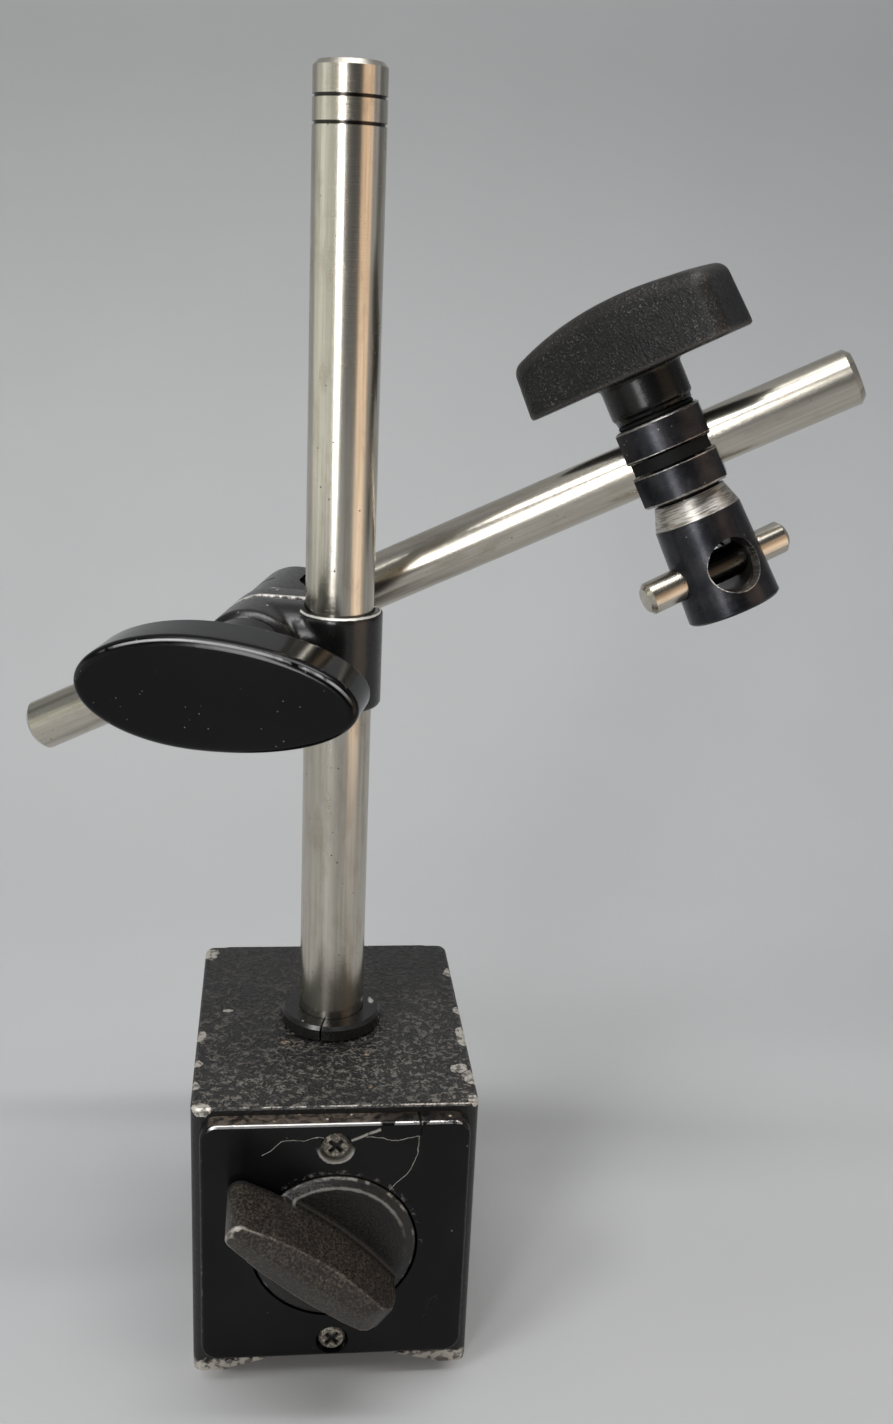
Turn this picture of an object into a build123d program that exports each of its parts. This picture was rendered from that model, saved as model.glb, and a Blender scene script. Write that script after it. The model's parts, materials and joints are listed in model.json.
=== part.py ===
from build123d import *
import os

# Magnetic base stand for a dial indicator, in millimetres.
# The origin is the centre of the underside. +Z is up, and the front plate with the switch faces -Y.

# Shared clearances and the overrun of every cut
overrun = 2.0
running_clearance = 0.1
slip_clearance = 0.05
edge_chamfer = 0.4

# Base block
base_width = 50.0
base_depth = 60.0
base_height = 55.0
base_corner_radius = 2.0
spacer_width = 3.0
vee_width = 40.0
vee_depth = 5.5

# Magnet rotor inside the base: the wall is the iron left around it, halved above and below
rotor_wall = 12.4
rotor_rise = 1.2
rotor_radius = base_height / 2 - rotor_wall
rotor_axis_height = base_height / 2 + rotor_rise
rotor_clearance = 0.2
rotor_end_gap = 0.3
magnet_share = 0.8
magnet_thickness = rotor_radius * magnet_share
rotor_cap_thickness = 2.4
rotor_journal_radius = 4.0
rotor_journal_length = 2.2
drive_square = 9.0
drive_length = 4.0
drive_clearance = 0.15

# End plates and their screws
plate_width = 46.6
plate_bottom = 5.0
plate_top_margin = 1.4
plate_height = base_height - plate_bottom - plate_top_margin
plate_thickness = 3.2
plate_corner_radius = 3.0
plate_edge_radius = 0.8
plate_screw_inset = 4.1
plate_screw_reach = plate_height / 2 - plate_screw_inset
screw_radius = 1.5
screw_head_radius = 2.4
screw_head_height = 1.5
screw_length = 9.0
screw_recess_radius = 2.9
screw_recess_depth = 1.9
cross_slot_width = 0.9
cross_slot_length = 3.2
cross_slot_depth = 0.9

# Switch disc and its lever
disc_inset = 0.7
disc_radius = rotor_radius - disc_inset
disc_proud = 0.8
disc_bevel = 1.9
disc_clearance = 0.35
flange_radius = rotor_radius
flange_thickness = 2.4
lever_angle = 142.0
lever_long_end = 22.9
lever_short_end = 13.0
lever_end_round = 2.4
lever_half_width = 4.0
lever_end_half_width = 2.3
lever_height = 13.6
lever_foot_height = 3.0
lever_shoulder_reach = 10.7
lever_shoulder_height = 10.0
lever_brow_reach = 8.8
lever_brow_height = 12.0
lever_ridge_reach = 5.6
lever_crown = 1.3
lever_edge_radius = 0.7
switch_travel = 90.0

# Pin that stops the switch at both ends of its travel
stop_pin_radius = 1.2
stop_pin_step = 0.6
stop_pin_circle = flange_radius + stop_pin_step
stop_pin_angle = 200.0
stop_notch_clearance = 0.3
stop_notch_slack = 6.5

# Post and the collar at its foot
post_radius = 6.0
post_height = 169.0
post_chamfer = 0.8
post_stud_radius = 4.0
post_stud_length = 7.5
post_ring_width = 0.5
post_ring_depth = 0.3
post_first_ring = 5.0
post_second_ring = 9.0
collar_radius = 9.4
collar_height = 3.2
collar_edge_radius = 0.6
collar_split_width = 0.35
collar_split_angle = 256.0

# Clamp on the post, drawn with the bolt pointing along Y and then turned
clamp_turn = -14.0
bolt_offset = 13.9
bolt_height = 127.7
clamp_radius = 9.0
strap_top_drop = 0.8
clamp_front = 10.0
clamp_rear = 8.5
clamp_wall = 1.5
clamp_edge_radius = 1.4
leg_edge_radius = 6.0
slit_front = 1.3
slit_width = 1.5
slit_end = 4.8
bolt_radius = 4.0

# Arm, its sleeve and the eye bolt
arm_radius = 5.0
arm_back = 21.6
arm_tilt = 27.2
arm_left = 58.0
arm_right = 112.0
arm_chamfer = 1.0
sleeve_radius = 8.7
sleeve_bore_radius = 7.3
sleeve_rear = 28.6
sleeve_front_wall = 1.4
sleeve_edge_radius = 0.8
arm_slot_half_height = 6.4
arm_slot_corner = 2.5
arm_slot_clearance = 0.3
kerf_width = 0.8
kerf_back = 18.3
kerf_end = 1.8
eye_radius = 7.2
eye_rear_wall = 1.6
eye_front_gap = 0.6

# Oval knob on the eye bolt
knob_half_length = 23.4
knob_widest_shift = -3.0
knob_half_width = 9.6
knob_thickness = 11.2
knob_front = 30.6
knob_front_edge_radius = 1.6
knob_rear_edge_radius = 0.8
knob_hub_radius = 8.2
knob_turn = 1.7
knob_washer_radius = 7.6
knob_washer_thickness = 1.0
insert_wall = 1.4
insert_length = 13.0
bolt_end_gap = 1.0

# Clamp at the far end of the arm, drawn upright about its spindle
end_clamp_reach = 77.8
end_clamp_roll = -4.4
jaw_radius = 9.4
jaw_half_width = 7.65
jaw_height = 5.6
jaw_gap = 3.0
spindle_radius = 6.25
spindle_half_height = 6.9
spindle_collar_radius = 8.7
spindle_collar_gap = 0.4
spindle_stud_radius = 4.0
spindle_stud_end = 20.0
spindle_neck_radius = 3.0
button_radius = 4.5
button_height = 2.0
thrust_washer_radius = 7.0
thrust_washer_thickness = 0.8
thrust_washer_gap = 0.02
friction_washer_radius = 5.9
friction_washer_thickness = 0.8

# Knob on the spindle
tee_half_length = 21.2
tee_half_width = 8.5
tee_end_half_width = 6.8
tee_corner_radius = 3.2
tee_draft = 3.5
tee_bottom = 15.2
tee_top = 29.0
tee_crown_radius = 72.0
tee_crown_shift = 2.4
tee_edge_radius = 2.6
tee_bottom_edge_radius = 0.6
tee_hub_radius = 7.5
tee_hub_step = 0.5
tee_hub_step_height = 1.2
tee_turn = -25.0
tee_insert_length = 13.0

# Head with the stem hole, and the drawbar inside it
head_radius = 8.6
head_shoulder_radius = 8.0
head_length = 22.1
head_cone_radius = 6.5
head_cone_height = 4.2
head_top_wall = 2.2
head_bore_radius = 6.05
head_turn = 25.0
stem_hole_radius = 4.85
stem_hole_drop = 13.9
stem_hole_shift = 0.6
drawbar_end_gap = 0.5
drawbar_top_gap = 0.3
slot_clearance = 0.25

# Cross pin through the head
cross_pin_radius = 3.0
cross_pin_length = 29.0
cross_pin_shift = -0.6
cross_pin_chamfer = 0.8

# Places worked out from the sizes above
front_face = -base_depth / 2
rear_face = base_depth / 2
plate_front = front_face - plate_thickness
rotor_bore_radius = rotor_radius + rotor_clearance
plate_middle = plate_bottom + plate_height / 2
screw_heights = (rotor_axis_height - plate_screw_reach, rotor_axis_height + plate_screw_reach)
switch_back = front_face + flange_thickness
rotor_front = switch_back + rotor_end_gap
rotor_rear = rear_face - rotor_end_gap
post_top = base_height + post_height
knob_rear = knob_front - knob_thickness
washer_front = clamp_front + knob_washer_thickness
jaw_outer = jaw_gap / 2 + jaw_height
head_top = -jaw_outer - friction_washer_thickness
head_bottom = head_top - head_length
head_inner_top = head_top - head_top_wall
stem_hole_height = head_top - stem_hole_drop
tee_hub_bottom = jaw_outer + thrust_washer_thickness

# Frames: the rotor axis points to the rear, and the clamps sit where the photograph has them
to_rear = Rot(-90, 0, 0)
rotor_frame = Pos(0, 0, rotor_axis_height) * to_rear
clamp_frame = Rot(0, 0, clamp_turn) * Pos(0, 0, bolt_height)
bolt_frame = clamp_frame * Pos(-bolt_offset, 0, 0)
tilted_frame = bolt_frame * Rot(0, -arm_tilt, 0)
arm_frame = tilted_frame * Pos(0, arm_back, 0)
spindle_frame = arm_frame * Pos(end_clamp_reach, 0, 0) * Rot(end_clamp_roll, 0, 0)
head_frame = spindle_frame * Rot(0, 0, head_turn)


def rod(radius, start, end):
    """A cylinder on the Z axis from start to end."""
    return Pos(0, 0, start) * Cylinder(radius, end - start, align=(Align.CENTER, Align.CENTER, Align.MIN))


def rod_along_y(radius, start, end):
    """A cylinder on the Y axis from start to end."""
    return to_rear * rod(radius, start, end)


def rod_along_x(radius, start, end):
    """A cylinder on the X axis from start to end."""
    return Rot(0, 90, 0) * rod(radius, start, end)


def block(x_range, y_range, z_range):
    """A box between two places on each axis."""
    size = [high - low for low, high in (x_range, y_range, z_range)]
    middle = [(high + low) / 2 for low, high in (x_range, y_range, z_range)]
    return Pos(*middle) * Box(*size)


def turned(*outline):
    """A solid turned about the Z axis from points given as (radius, height)."""
    edge = Polyline(*[(radius, 0, height) for radius, height in outline], close=True)
    return revolve(make_face(edge), Axis.Z)


def ring(outer_radius, inner_radius, start, end, chamfer_size):
    """A ring on the Z axis with its outer edges chamfered."""
    return turned(
        (inner_radius, start),
        (outer_radius - chamfer_size, start),
        (outer_radius, start + chamfer_size),
        (outer_radius, end - chamfer_size),
        (outer_radius - chamfer_size, end),
        (inner_radius, end),
    )


def bar(radius, start, end, chamfer_size):
    """A round bar on the Z axis with both ends chamfered."""
    return turned(
        (0, start),
        (radius - chamfer_size, start),
        (radius, start + chamfer_size),
        (radius, end - chamfer_size),
        (radius - chamfer_size, end),
        (0, end),
    )


def plate_screw_places():
    """Front and rear places of the plate screws, each pointing out of its plate."""
    front = [Pos(0, plate_front, height) * Rot(90, 0, 0) for height in screw_heights]
    rear = [Pos(0, -plate_front, height) * Rot(-90, 0, 0) for height in screw_heights]
    return front, rear


# Base

def base_envelope():
    """The block with rounded upright corners, the vee under it and the rotor bore through it."""
    outline = RectangleRounded(base_width, base_depth, base_corner_radius)
    body = extrude(outline, base_height)
    body = chamfer(body.faces().sort_by(Axis.Z)[-1].edges(), edge_chamfer)
    vee_outline = Polyline((-vee_width / 2, 0), (0, vee_depth), (vee_width / 2, 0), close=True)
    vee = extrude(Plane.XZ * make_face(vee_outline), base_depth / 2 + overrun, both=True)
    bore = rotor_frame * rod(rotor_bore_radius, front_face - overrun, rear_face + overrun)
    stud_hole = rod(post_stud_radius + slip_clearance, base_height - post_stud_length - slip_clearance,
                    base_height + overrun)
    body = body - vee - bore - stud_hole
    front, rear = plate_screw_places()
    for place in front + rear:
        body -= place * rod(screw_radius + slip_clearance, -screw_length - overrun, overrun)
    return body - stop_pin_shape(slip_clearance)


def base_part(x_range, z_range):
    """The piece of the base block inside the given ranges."""
    depth_range = (front_face - overrun, rear_face + overrun)
    return base_envelope() & block(x_range, depth_range, z_range)


def stop_pin_shape(growth):
    """The stop pin, which stands in the left pole at the edge of the bore."""
    place = rotor_frame * Rot(0, 0, stop_pin_angle) * Pos(stop_pin_circle, 0, 0)
    return place * rod(stop_pin_radius + growth, front_face, switch_back)


def end_plate(with_switch_hole):
    """A plate with its outer edge rounded, drawn as the front plate."""
    outline = RectangleRounded(plate_width, plate_height, plate_corner_radius)
    plate = extrude(outline, plate_thickness)
    plate = fillet(plate.faces().sort_by(Axis.Z)[-1].edges(), plate_edge_radius)
    plate = Pos(0, front_face, plate_middle) * Rot(90, 0, 0) * plate
    for place in plate_screw_places()[0]:
        plate -= place * rod(screw_radius + slip_clearance, -plate_thickness - overrun, overrun)
        plate -= place * rod(screw_recess_radius, -screw_recess_depth, overrun)
    if with_switch_hole:
        plate -= rotor_frame * rod(disc_radius + disc_clearance, plate_front - overrun, front_face + overrun)
    else:
        journal_hole = rotor_journal_radius + running_clearance
        plate -= rotor_frame * rod(journal_hole, front_face - rotor_journal_length, front_face + overrun)
    return plate


def plate_screw():
    """A cross-head screw pointing down, with the plate's outer face at height 0."""
    seat = -screw_recess_depth
    top = seat + screw_head_height
    screw = bar(screw_head_radius, seat, top, edge_chamfer) + rod(screw_radius, -screw_length, seat)
    half_length = cross_slot_length / 2
    half_width = cross_slot_width / 2
    slot_heights = (top - cross_slot_depth, top + overrun)
    cut = block((-half_length, half_length), (-half_width, half_width), slot_heights)
    for turn in (45, 135):
        screw -= Rot(0, 0, turn) * cut
    return screw


# Magnet rotor, drawn along Z and then laid along Y

def rotor_core():
    """The round core between the two caps."""
    return rod(rotor_radius, rotor_front + rotor_cap_thickness, rotor_rear - rotor_cap_thickness)


def rotor_slab(growth):
    """The flat magnet's space in the core."""
    half = magnet_thickness / 2 + growth
    return block((-rotor_radius - overrun, rotor_radius + overrun), (-half, half), (rotor_front, rotor_rear))


def rotor_front_cap():
    cap = rod(rotor_radius, rotor_front, rotor_front + rotor_cap_thickness)
    half = drive_square / 2
    return cap + block((-half, half), (-half, half), (rotor_front - drive_length, rotor_front))


def rotor_rear_cap():
    cap = rod(rotor_radius, rotor_rear - rotor_cap_thickness, rotor_rear)
    return cap + rod(rotor_journal_radius, rotor_rear, rear_face + rotor_journal_length - running_clearance)


def lever():
    """The tall narrow finger lever, drawn along X with its foot on height 0."""
    long_corner = lever_end_round - lever_long_end
    short_corner = lever_short_end - lever_end_round
    widest = (long_corner + short_corner) / 2
    corners = [
        (long_corner, lever_end_half_width),
        (short_corner, lever_end_half_width),
        (short_corner, -lever_end_half_width),
        (long_corner, -lever_end_half_width),
    ]
    bulges = [
        (widest, lever_half_width),
        (lever_short_end, 0),
        (widest, -lever_half_width),
        (-lever_long_end, 0),
    ]
    plan = make_face([
        ThreePointArc(start, bulge, end)
        for start, bulge, end in zip(corners, bulges, corners[1:] + corners[:1])
    ])
    upright = extrude(plan, lever_height)
    side = make_face(Polyline(
        (-lever_long_end, 0),
        (lever_short_end, 0),
        (lever_short_end, lever_foot_height),
        (lever_shoulder_reach, lever_shoulder_height),
        (lever_brow_reach, lever_brow_height),
        (lever_ridge_reach, lever_height),
        (-lever_long_end + lever_edge_radius, lever_height),
        (-lever_long_end, lever_height - lever_edge_radius),
        close=True,
    ))
    profile = extrude(Plane.XZ * side, lever_half_width + overrun, both=True)
    roof = make_face(Polyline(
        (-lever_half_width, 0),
        (lever_half_width, 0),
        (lever_half_width, lever_height - lever_crown),
        (0, lever_height),
        (-lever_half_width, lever_height - lever_crown),
        close=True,
    ))
    section = extrude(Plane.YZ * roof, lever_long_end + overrun, both=True)
    return upright & profile & section


def stop_notch():
    """The notch in the flange's rim that leaves the pin free over the switch's travel."""
    floor_radius = stop_pin_circle - stop_pin_radius - stop_notch_clearance
    band = rod(flange_radius + overrun, front_face, switch_back + overrun)
    band -= rod(floor_radius, front_face - overrun, switch_back + overrun * 2)
    first = stop_pin_angle - switch_travel - stop_notch_slack
    last = stop_pin_angle + stop_notch_slack
    middle = Vector(flange_radius * 2, 0).rotate(Axis.Z, (first + last) / 2)
    corners = [Vector(flange_radius * 2, 0).rotate(Axis.Z, angle) for angle in (first, last)]
    outline = Polyline((0, 0), corners[0], middle, corners[1], close=True)
    return band & Pos(0, 0, front_face) * extrude(make_face(outline), flange_thickness + overrun)


def switch_knob():
    """The disc, its flange behind the plate, the drive socket and the lever."""
    disc_front = plate_front - disc_proud
    disc = turned(
        (0, disc_front),
        (disc_radius - disc_bevel, disc_front),
        (disc_radius, disc_front + disc_proud),
        (disc_radius, front_face),
        (flange_radius, front_face),
        (flange_radius, switch_back),
        (0, switch_back),
    )
    half = drive_square / 2 + drive_clearance
    socket_floor = rotor_front - drive_length - drive_clearance
    socket = block((-half, half), (-half, half), (socket_floor, switch_back + overrun))
    disc = disc - socket - stop_notch()
    handle = Pos(0, 0, disc_front) * Rot(180, 0, 0) * Rot(0, 0, lever_angle + 180) * lever()
    return disc + handle


# Post

def post():
    ring_heights = [post_top - post_first_ring, post_top - post_second_ring]
    outline = bar(post_radius, base_height, post_top, post_chamfer)
    for height in ring_heights:
        groove = rod(post_radius + overrun, height - post_ring_width, height)
        outline -= groove - rod(post_radius - post_ring_depth, height - overrun, height + overrun)
    return outline + rod(post_stud_radius, base_height - post_stud_length, base_height)


def collar():
    """The split ring round the foot of the post."""
    body = ring(collar_radius, post_radius + running_clearance, base_height, base_height + collar_height,
                collar_edge_radius)
    split = block((0, collar_radius + overrun), (-collar_split_width / 2, collar_split_width / 2),
                  (base_height - overrun, base_height + collar_height + overrun))
    return body - Rot(0, 0, collar_split_angle) * split


# Clamp on the post

def post_clamp_body():
    """A pinch clamp: the bolt draws the two legs together and grips the post."""
    strap_depth = post_radius + running_clearance + clamp_wall
    strap = bar(strap_depth, -clamp_radius, clamp_radius - strap_top_drop, edge_chamfer)
    boss = to_rear * turned(
        (0, -clamp_front),
        (clamp_radius - clamp_edge_radius, -clamp_front),
        (clamp_radius, clamp_edge_radius - clamp_front),
        (clamp_radius, clamp_rear),
        (0, clamp_rear),
    )
    leg_profile = RectangleRounded(2 * strap_depth, 2 * clamp_radius, leg_edge_radius)
    legs = Pos(-bolt_offset, 0, 0) * extrude(Plane.YZ * leg_profile, bolt_offset)
    rear_leg = block((-bolt_offset, -post_radius), (0, clamp_rear), (-clamp_radius, clamp_radius))
    body = strap + Pos(-bolt_offset, 0, 0) * boss + legs + rear_leg
    body -= rod(post_radius + running_clearance, -clamp_radius - overrun, clamp_radius + overrun)
    body -= Pos(-bolt_offset, 0, 0) * rod_along_y(bolt_radius + running_clearance, -clamp_front - overrun,
                                                  clamp_rear + overrun)
    slit = block((-bolt_offset - clamp_radius - overrun, -slit_end), (slit_front, slit_front + slit_width),
                 (-clamp_radius - overrun, clamp_radius + overrun))
    return body - slit


def arm_sleeve():
    """The round sleeve behind the clamp, split by a kerf and slotted for the arm."""
    inner_front = clamp_rear + sleeve_front_wall
    body = turned(
        (bolt_radius + running_clearance, clamp_rear),
        (sleeve_radius, clamp_rear),
        (sleeve_radius, sleeve_rear - sleeve_edge_radius),
        (sleeve_radius - sleeve_edge_radius, sleeve_rear),
        (sleeve_bore_radius, sleeve_rear),
        (sleeve_bore_radius, inner_front),
        (bolt_radius + running_clearance, inner_front),
    )
    body = to_rear * body
    slot_half_depth = arm_radius + arm_slot_clearance
    slot = RectangleRounded(2 * slot_half_depth, 2 * arm_slot_half_height, arm_slot_corner)
    slot = Pos(0, arm_back, 0) * extrude(Plane.YZ * slot, sleeve_radius + overrun, both=True)
    reach = sleeve_radius + overrun
    kerf_range = (kerf_back - kerf_width / 2, kerf_back + kerf_width / 2)
    kerf = block((-reach, kerf_end), kerf_range, (-reach, reach))
    return body - slot - kerf


def eye_bolt():
    """The bolt through both clamps, with the eye that holds the arm."""
    eye_front = clamp_rear + sleeve_front_wall + eye_front_gap
    eye_rear = arm_back + arm_radius + eye_rear_wall
    bolt_end = bolt_end_gap - washer_front - insert_length
    body = rod_along_y(eye_radius, eye_front, eye_rear) + rod_along_y(bolt_radius, bolt_end, eye_front)
    hole = arm_radius + running_clearance
    return body - Pos(0, arm_back, 0) * rod_along_x(hole, -eye_radius - overrun, eye_radius + overrun)


def bolt_washer():
    hole = bolt_radius + running_clearance
    return to_rear * ring(knob_washer_radius, hole, -washer_front, -clamp_front, edge_chamfer / 2)


def knob_insert():
    """The threaded bush moulded into the oval knob."""
    inner = bolt_radius + running_clearance
    front = -washer_front - insert_length
    return to_rear * ring(inner + insert_wall, inner, front, -washer_front, edge_chamfer / 2)


def clamp_knob():
    """The oval knob, with its flat face to the front."""
    left_reach = knob_half_length + knob_widest_shift
    right_reach = knob_half_length - knob_widest_shift
    left = EllipticalCenterArc((0, 0), left_reach, knob_half_width, 90, arc_size=180)
    right = EllipticalCenterArc((0, 0), right_reach, knob_half_width, -90, arc_size=180)
    plan = make_face([left, right])
    wing = Pos(knob_widest_shift, 0, -knob_front) * extrude(plan, knob_thickness)
    faces = wing.faces().filter_by(GeomType.PLANE).sort_by(Axis.Z)
    wing = fillet(faces[0].edges(), knob_front_edge_radius)
    wing = fillet(wing.faces().filter_by(GeomType.PLANE).sort_by(Axis.Z)[-1].edges(), knob_rear_edge_radius)
    body = wing + rod(knob_hub_radius, -knob_rear - overrun, -washer_front)
    bush_outer = bolt_radius + running_clearance + insert_wall
    body -= rod(bush_outer, -washer_front - insert_length, -washer_front + overrun)
    return to_rear * Rot(0, 0, knob_turn) * body


# Clamp at the end of the arm, drawn upright with the arm's axis at height 0

def jaw():
    """A flat-sided disc with a saddle for the arm, drawn as the upper one."""
    outline = Circle(jaw_radius) & Rectangle(2 * jaw_half_width, 2 * jaw_radius)
    body = Pos(0, 0, jaw_gap / 2) * extrude(outline, jaw_height)
    body = chamfer(body.faces().sort_by(Axis.Z)[-1].edges(), edge_chamfer)
    body -= rod(spindle_radius + running_clearance, -overrun, jaw_outer + overrun)
    return body - rod_along_x(arm_radius + slip_clearance, -jaw_radius - overrun, jaw_radius + overrun)


def spindle():
    """The eye for the arm, with a collar between the jaws, a stud above it and a button below it."""
    button_top = head_inner_top - drawbar_top_gap - slot_clearance * 2
    body = bar(spindle_radius, -spindle_half_height, spindle_half_height, edge_chamfer)
    collar_half_height = jaw_gap / 2 - spindle_collar_gap
    body += rod(spindle_collar_radius, -collar_half_height, collar_half_height)
    body += rod(spindle_stud_radius, 0, spindle_stud_end)
    body += rod(spindle_neck_radius, button_top, 0)
    body += rod(button_radius, button_top - button_height, button_top)
    reach = spindle_collar_radius + overrun
    return body - rod_along_x(arm_radius + running_clearance, -reach, reach)


def tee_knob():
    """The domed cross knob with its round hub."""
    rear_left = (-tee_half_length, tee_end_half_width)
    rear_right = (tee_half_length, tee_end_half_width)
    front_left = (-tee_half_length, -tee_end_half_width)
    front_right = (tee_half_length, -tee_end_half_width)
    plan = make_face([
        ThreePointArc(front_left, (0, -tee_half_width), front_right),
        Line(front_right, rear_right),
        ThreePointArc(rear_right, (0, tee_half_width), rear_left),
        Line(rear_left, front_left),
    ])
    plan = fillet(plan.vertices(), tee_corner_radius)
    wing = Pos(0, 0, tee_bottom) * extrude(plan, tee_top - tee_bottom, dir=(0, 0, 1), taper=tee_draft)
    crown_half_width = tee_half_width + overrun
    crown = rod_along_y(tee_crown_radius, -crown_half_width, crown_half_width)
    wing = wing & Pos(tee_crown_shift, 0, tee_top - tee_crown_radius) * crown
    wing = fillet(wing.faces().sort_by(Axis.Z)[-1].edges(), tee_edge_radius)
    wing = fillet(wing.faces().sort_by(Axis.Z)[0].edges(), tee_bottom_edge_radius)
    hub = turned(
        (0, tee_hub_bottom),
        (tee_hub_radius - tee_hub_step, tee_hub_bottom),
        (tee_hub_radius - tee_hub_step, tee_hub_bottom + tee_hub_step_height),
        (tee_hub_radius, tee_hub_bottom + tee_hub_step_height),
        (tee_hub_radius, tee_bottom + overrun),
        (0, tee_bottom + overrun),
    )
    bush_outer = spindle_stud_radius + running_clearance + insert_wall
    bore = rod(bush_outer, tee_hub_bottom - overrun, tee_hub_bottom + tee_insert_length)
    return Rot(0, 0, tee_turn) * (wing + hub) - bore


def tee_insert():
    inner = spindle_stud_radius + running_clearance
    top = tee_hub_bottom + tee_insert_length
    return ring(inner + insert_wall, inner, tee_hub_bottom, top, edge_chamfer / 2)


def thrust_washer():
    hole = spindle_stud_radius + running_clearance
    return ring(thrust_washer_radius, hole, jaw_outer + thrust_washer_gap, tee_hub_bottom, edge_chamfer / 2)


def friction_washer():
    hole = spindle_neck_radius + running_clearance
    return ring(friction_washer_radius, hole, head_top, -jaw_outer, edge_chamfer / 2)


def head_holes(stem_height):
    """The stem hole along Y and the cross pin's hole along X."""
    reach = head_radius + overrun
    stem = Pos(0, 0, stem_height) * rod_along_y(stem_hole_radius, -reach, reach)
    pin = Pos(0, 0, stem_hole_height) * rod_along_x(cross_pin_radius + slip_clearance, -reach, reach)
    return stem, pin


def head_sleeve():
    neck_hole = spindle_neck_radius + running_clearance
    body = turned(
        (neck_hole, head_top),
        (head_cone_radius, head_top),
        (head_shoulder_radius, head_top - head_cone_height),
        (head_radius, head_bottom + edge_chamfer),
        (head_radius - edge_chamfer, head_bottom),
        (head_bore_radius, head_bottom),
        (head_bore_radius, head_inner_top),
        (neck_hole, head_inner_top),
    )
    stem, pin = head_holes(stem_hole_height)
    return body - stem - pin


def drawbar():
    """The bar inside the head, hooked on the spindle's button by a tee slot open to one side."""
    radius = head_bore_radius - slip_clearance
    top = head_inner_top - drawbar_top_gap
    button_top = top - slot_clearance * 2
    body = bar(radius, head_bottom + drawbar_end_gap, top, edge_chamfer)
    neck = spindle_neck_radius + slot_clearance
    button = button_radius + slot_clearance
    floor = button_top - button_height - slot_clearance
    for half_width, low, high in ((neck, floor, top + overrun), (button, floor, button_top + slot_clearance)):
        body -= rod(half_width, low, high)
        body -= block((0, radius + overrun), (-half_width, half_width), (low, high))
    stem, pin = head_holes(stem_hole_height + stem_hole_shift)
    return body - stem - pin


def cross_pin():
    half = cross_pin_length / 2
    place = Pos(cross_pin_shift, 0, stem_hole_height) * Rot(0, 90, 0)
    return place * bar(cross_pin_radius, -half, half, cross_pin_chamfer)


# The whole stand

def whole_part():
    """Every node's name with its solid, in place."""
    half_spacer = spacer_width / 2
    side = base_width / 2 + overrun
    above_axis = (rotor_axis_height, base_height + overrun)
    below_axis = (-overrun, rotor_axis_height)
    full_height = (-overrun, base_height + overrun)
    core = rotor_core()
    slab = rotor_slab(0)
    shoes = core - slab
    front_screws, rear_screws = plate_screw_places()
    turn_round = Rot(0, 0, 180)
    return {
        "base_pole_left": base_part((-side, -half_spacer), full_height),
        "base_pole_right": base_part((half_spacer, side), full_height),
        "spacer_top": base_part((-half_spacer, half_spacer), above_axis),
        "spacer_bottom": base_part((-half_spacer, half_spacer), below_axis),
        "front_plate": end_plate(True),
        "rear_plate": turn_round * end_plate(False),
        "front_plate_screws": Compound(children=[place * plate_screw() for place in front_screws]),
        "rear_plate_screws": Compound(children=[place * plate_screw() for place in rear_screws]),
        "stop_pin": stop_pin_shape(0),
        "rotor_magnet": rotor_frame * (core & slab),
        "rotor_shoes": Compound(children=[rotor_frame * shoe for shoe in shoes.solids()]),
        "rotor_front_cap": rotor_frame * rotor_front_cap(),
        "rotor_rear_cap": rotor_frame * rotor_rear_cap(),
        "switch_knob": rotor_frame * switch_knob(),
        "post": post(),
        "collar_ring": collar(),
        "post_clamp_body": clamp_frame * post_clamp_body(),
        "clamp_washer": bolt_frame * bolt_washer(),
        "arm_sleeve": tilted_frame * arm_sleeve(),
        "eye_bolt": tilted_frame * eye_bolt(),
        "clamp_knob": bolt_frame * clamp_knob(),
        "clamp_knob_insert": bolt_frame * knob_insert(),
        "arm": arm_frame * Rot(0, 90, 0) * bar(arm_radius, -arm_left, arm_right, arm_chamfer),
        "spindle": spindle_frame * spindle(),
        "upper_jaw": spindle_frame * jaw(),
        "lower_jaw": spindle_frame * Rot(180, 0, 0) * jaw(),
        "thrust_washer": spindle_frame * thrust_washer(),
        "friction_washer": spindle_frame * friction_washer(),
        "tee_knob": spindle_frame * tee_knob(),
        "tee_knob_insert": spindle_frame * tee_insert(),
        "head_sleeve": head_frame * head_sleeve(),
        "drawbar": head_frame * drawbar(),
        "cross_pin": head_frame * cross_pin(),
    }


def main():
    os.makedirs("parts", exist_ok=True)
    for name, solid in whole_part().items():
        export_step(solid, f"parts/{name}.step")


main()
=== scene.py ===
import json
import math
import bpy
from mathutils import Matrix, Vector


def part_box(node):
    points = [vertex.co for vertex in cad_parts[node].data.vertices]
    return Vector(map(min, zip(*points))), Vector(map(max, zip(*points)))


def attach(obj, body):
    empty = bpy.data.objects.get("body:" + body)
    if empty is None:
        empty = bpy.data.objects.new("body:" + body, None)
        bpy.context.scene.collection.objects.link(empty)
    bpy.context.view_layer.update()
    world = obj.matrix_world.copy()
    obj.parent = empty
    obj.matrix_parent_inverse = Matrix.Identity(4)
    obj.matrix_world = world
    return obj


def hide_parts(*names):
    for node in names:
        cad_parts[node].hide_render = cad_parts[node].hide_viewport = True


bl_info = {
    "name": "Magnetic Indicator Stand",
    "version": (1, 0, 0),
    "blender": (4, 5, 0),
    "location": "View3D > Sidebar > Stand",
    "description": "Worn paint, black oxide, plated steel and moulded knobs for the packed magnetic stand",
    "category": "Object",
}

import bpy
import numpy as np
from mathutils import Matrix, Vector

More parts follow.
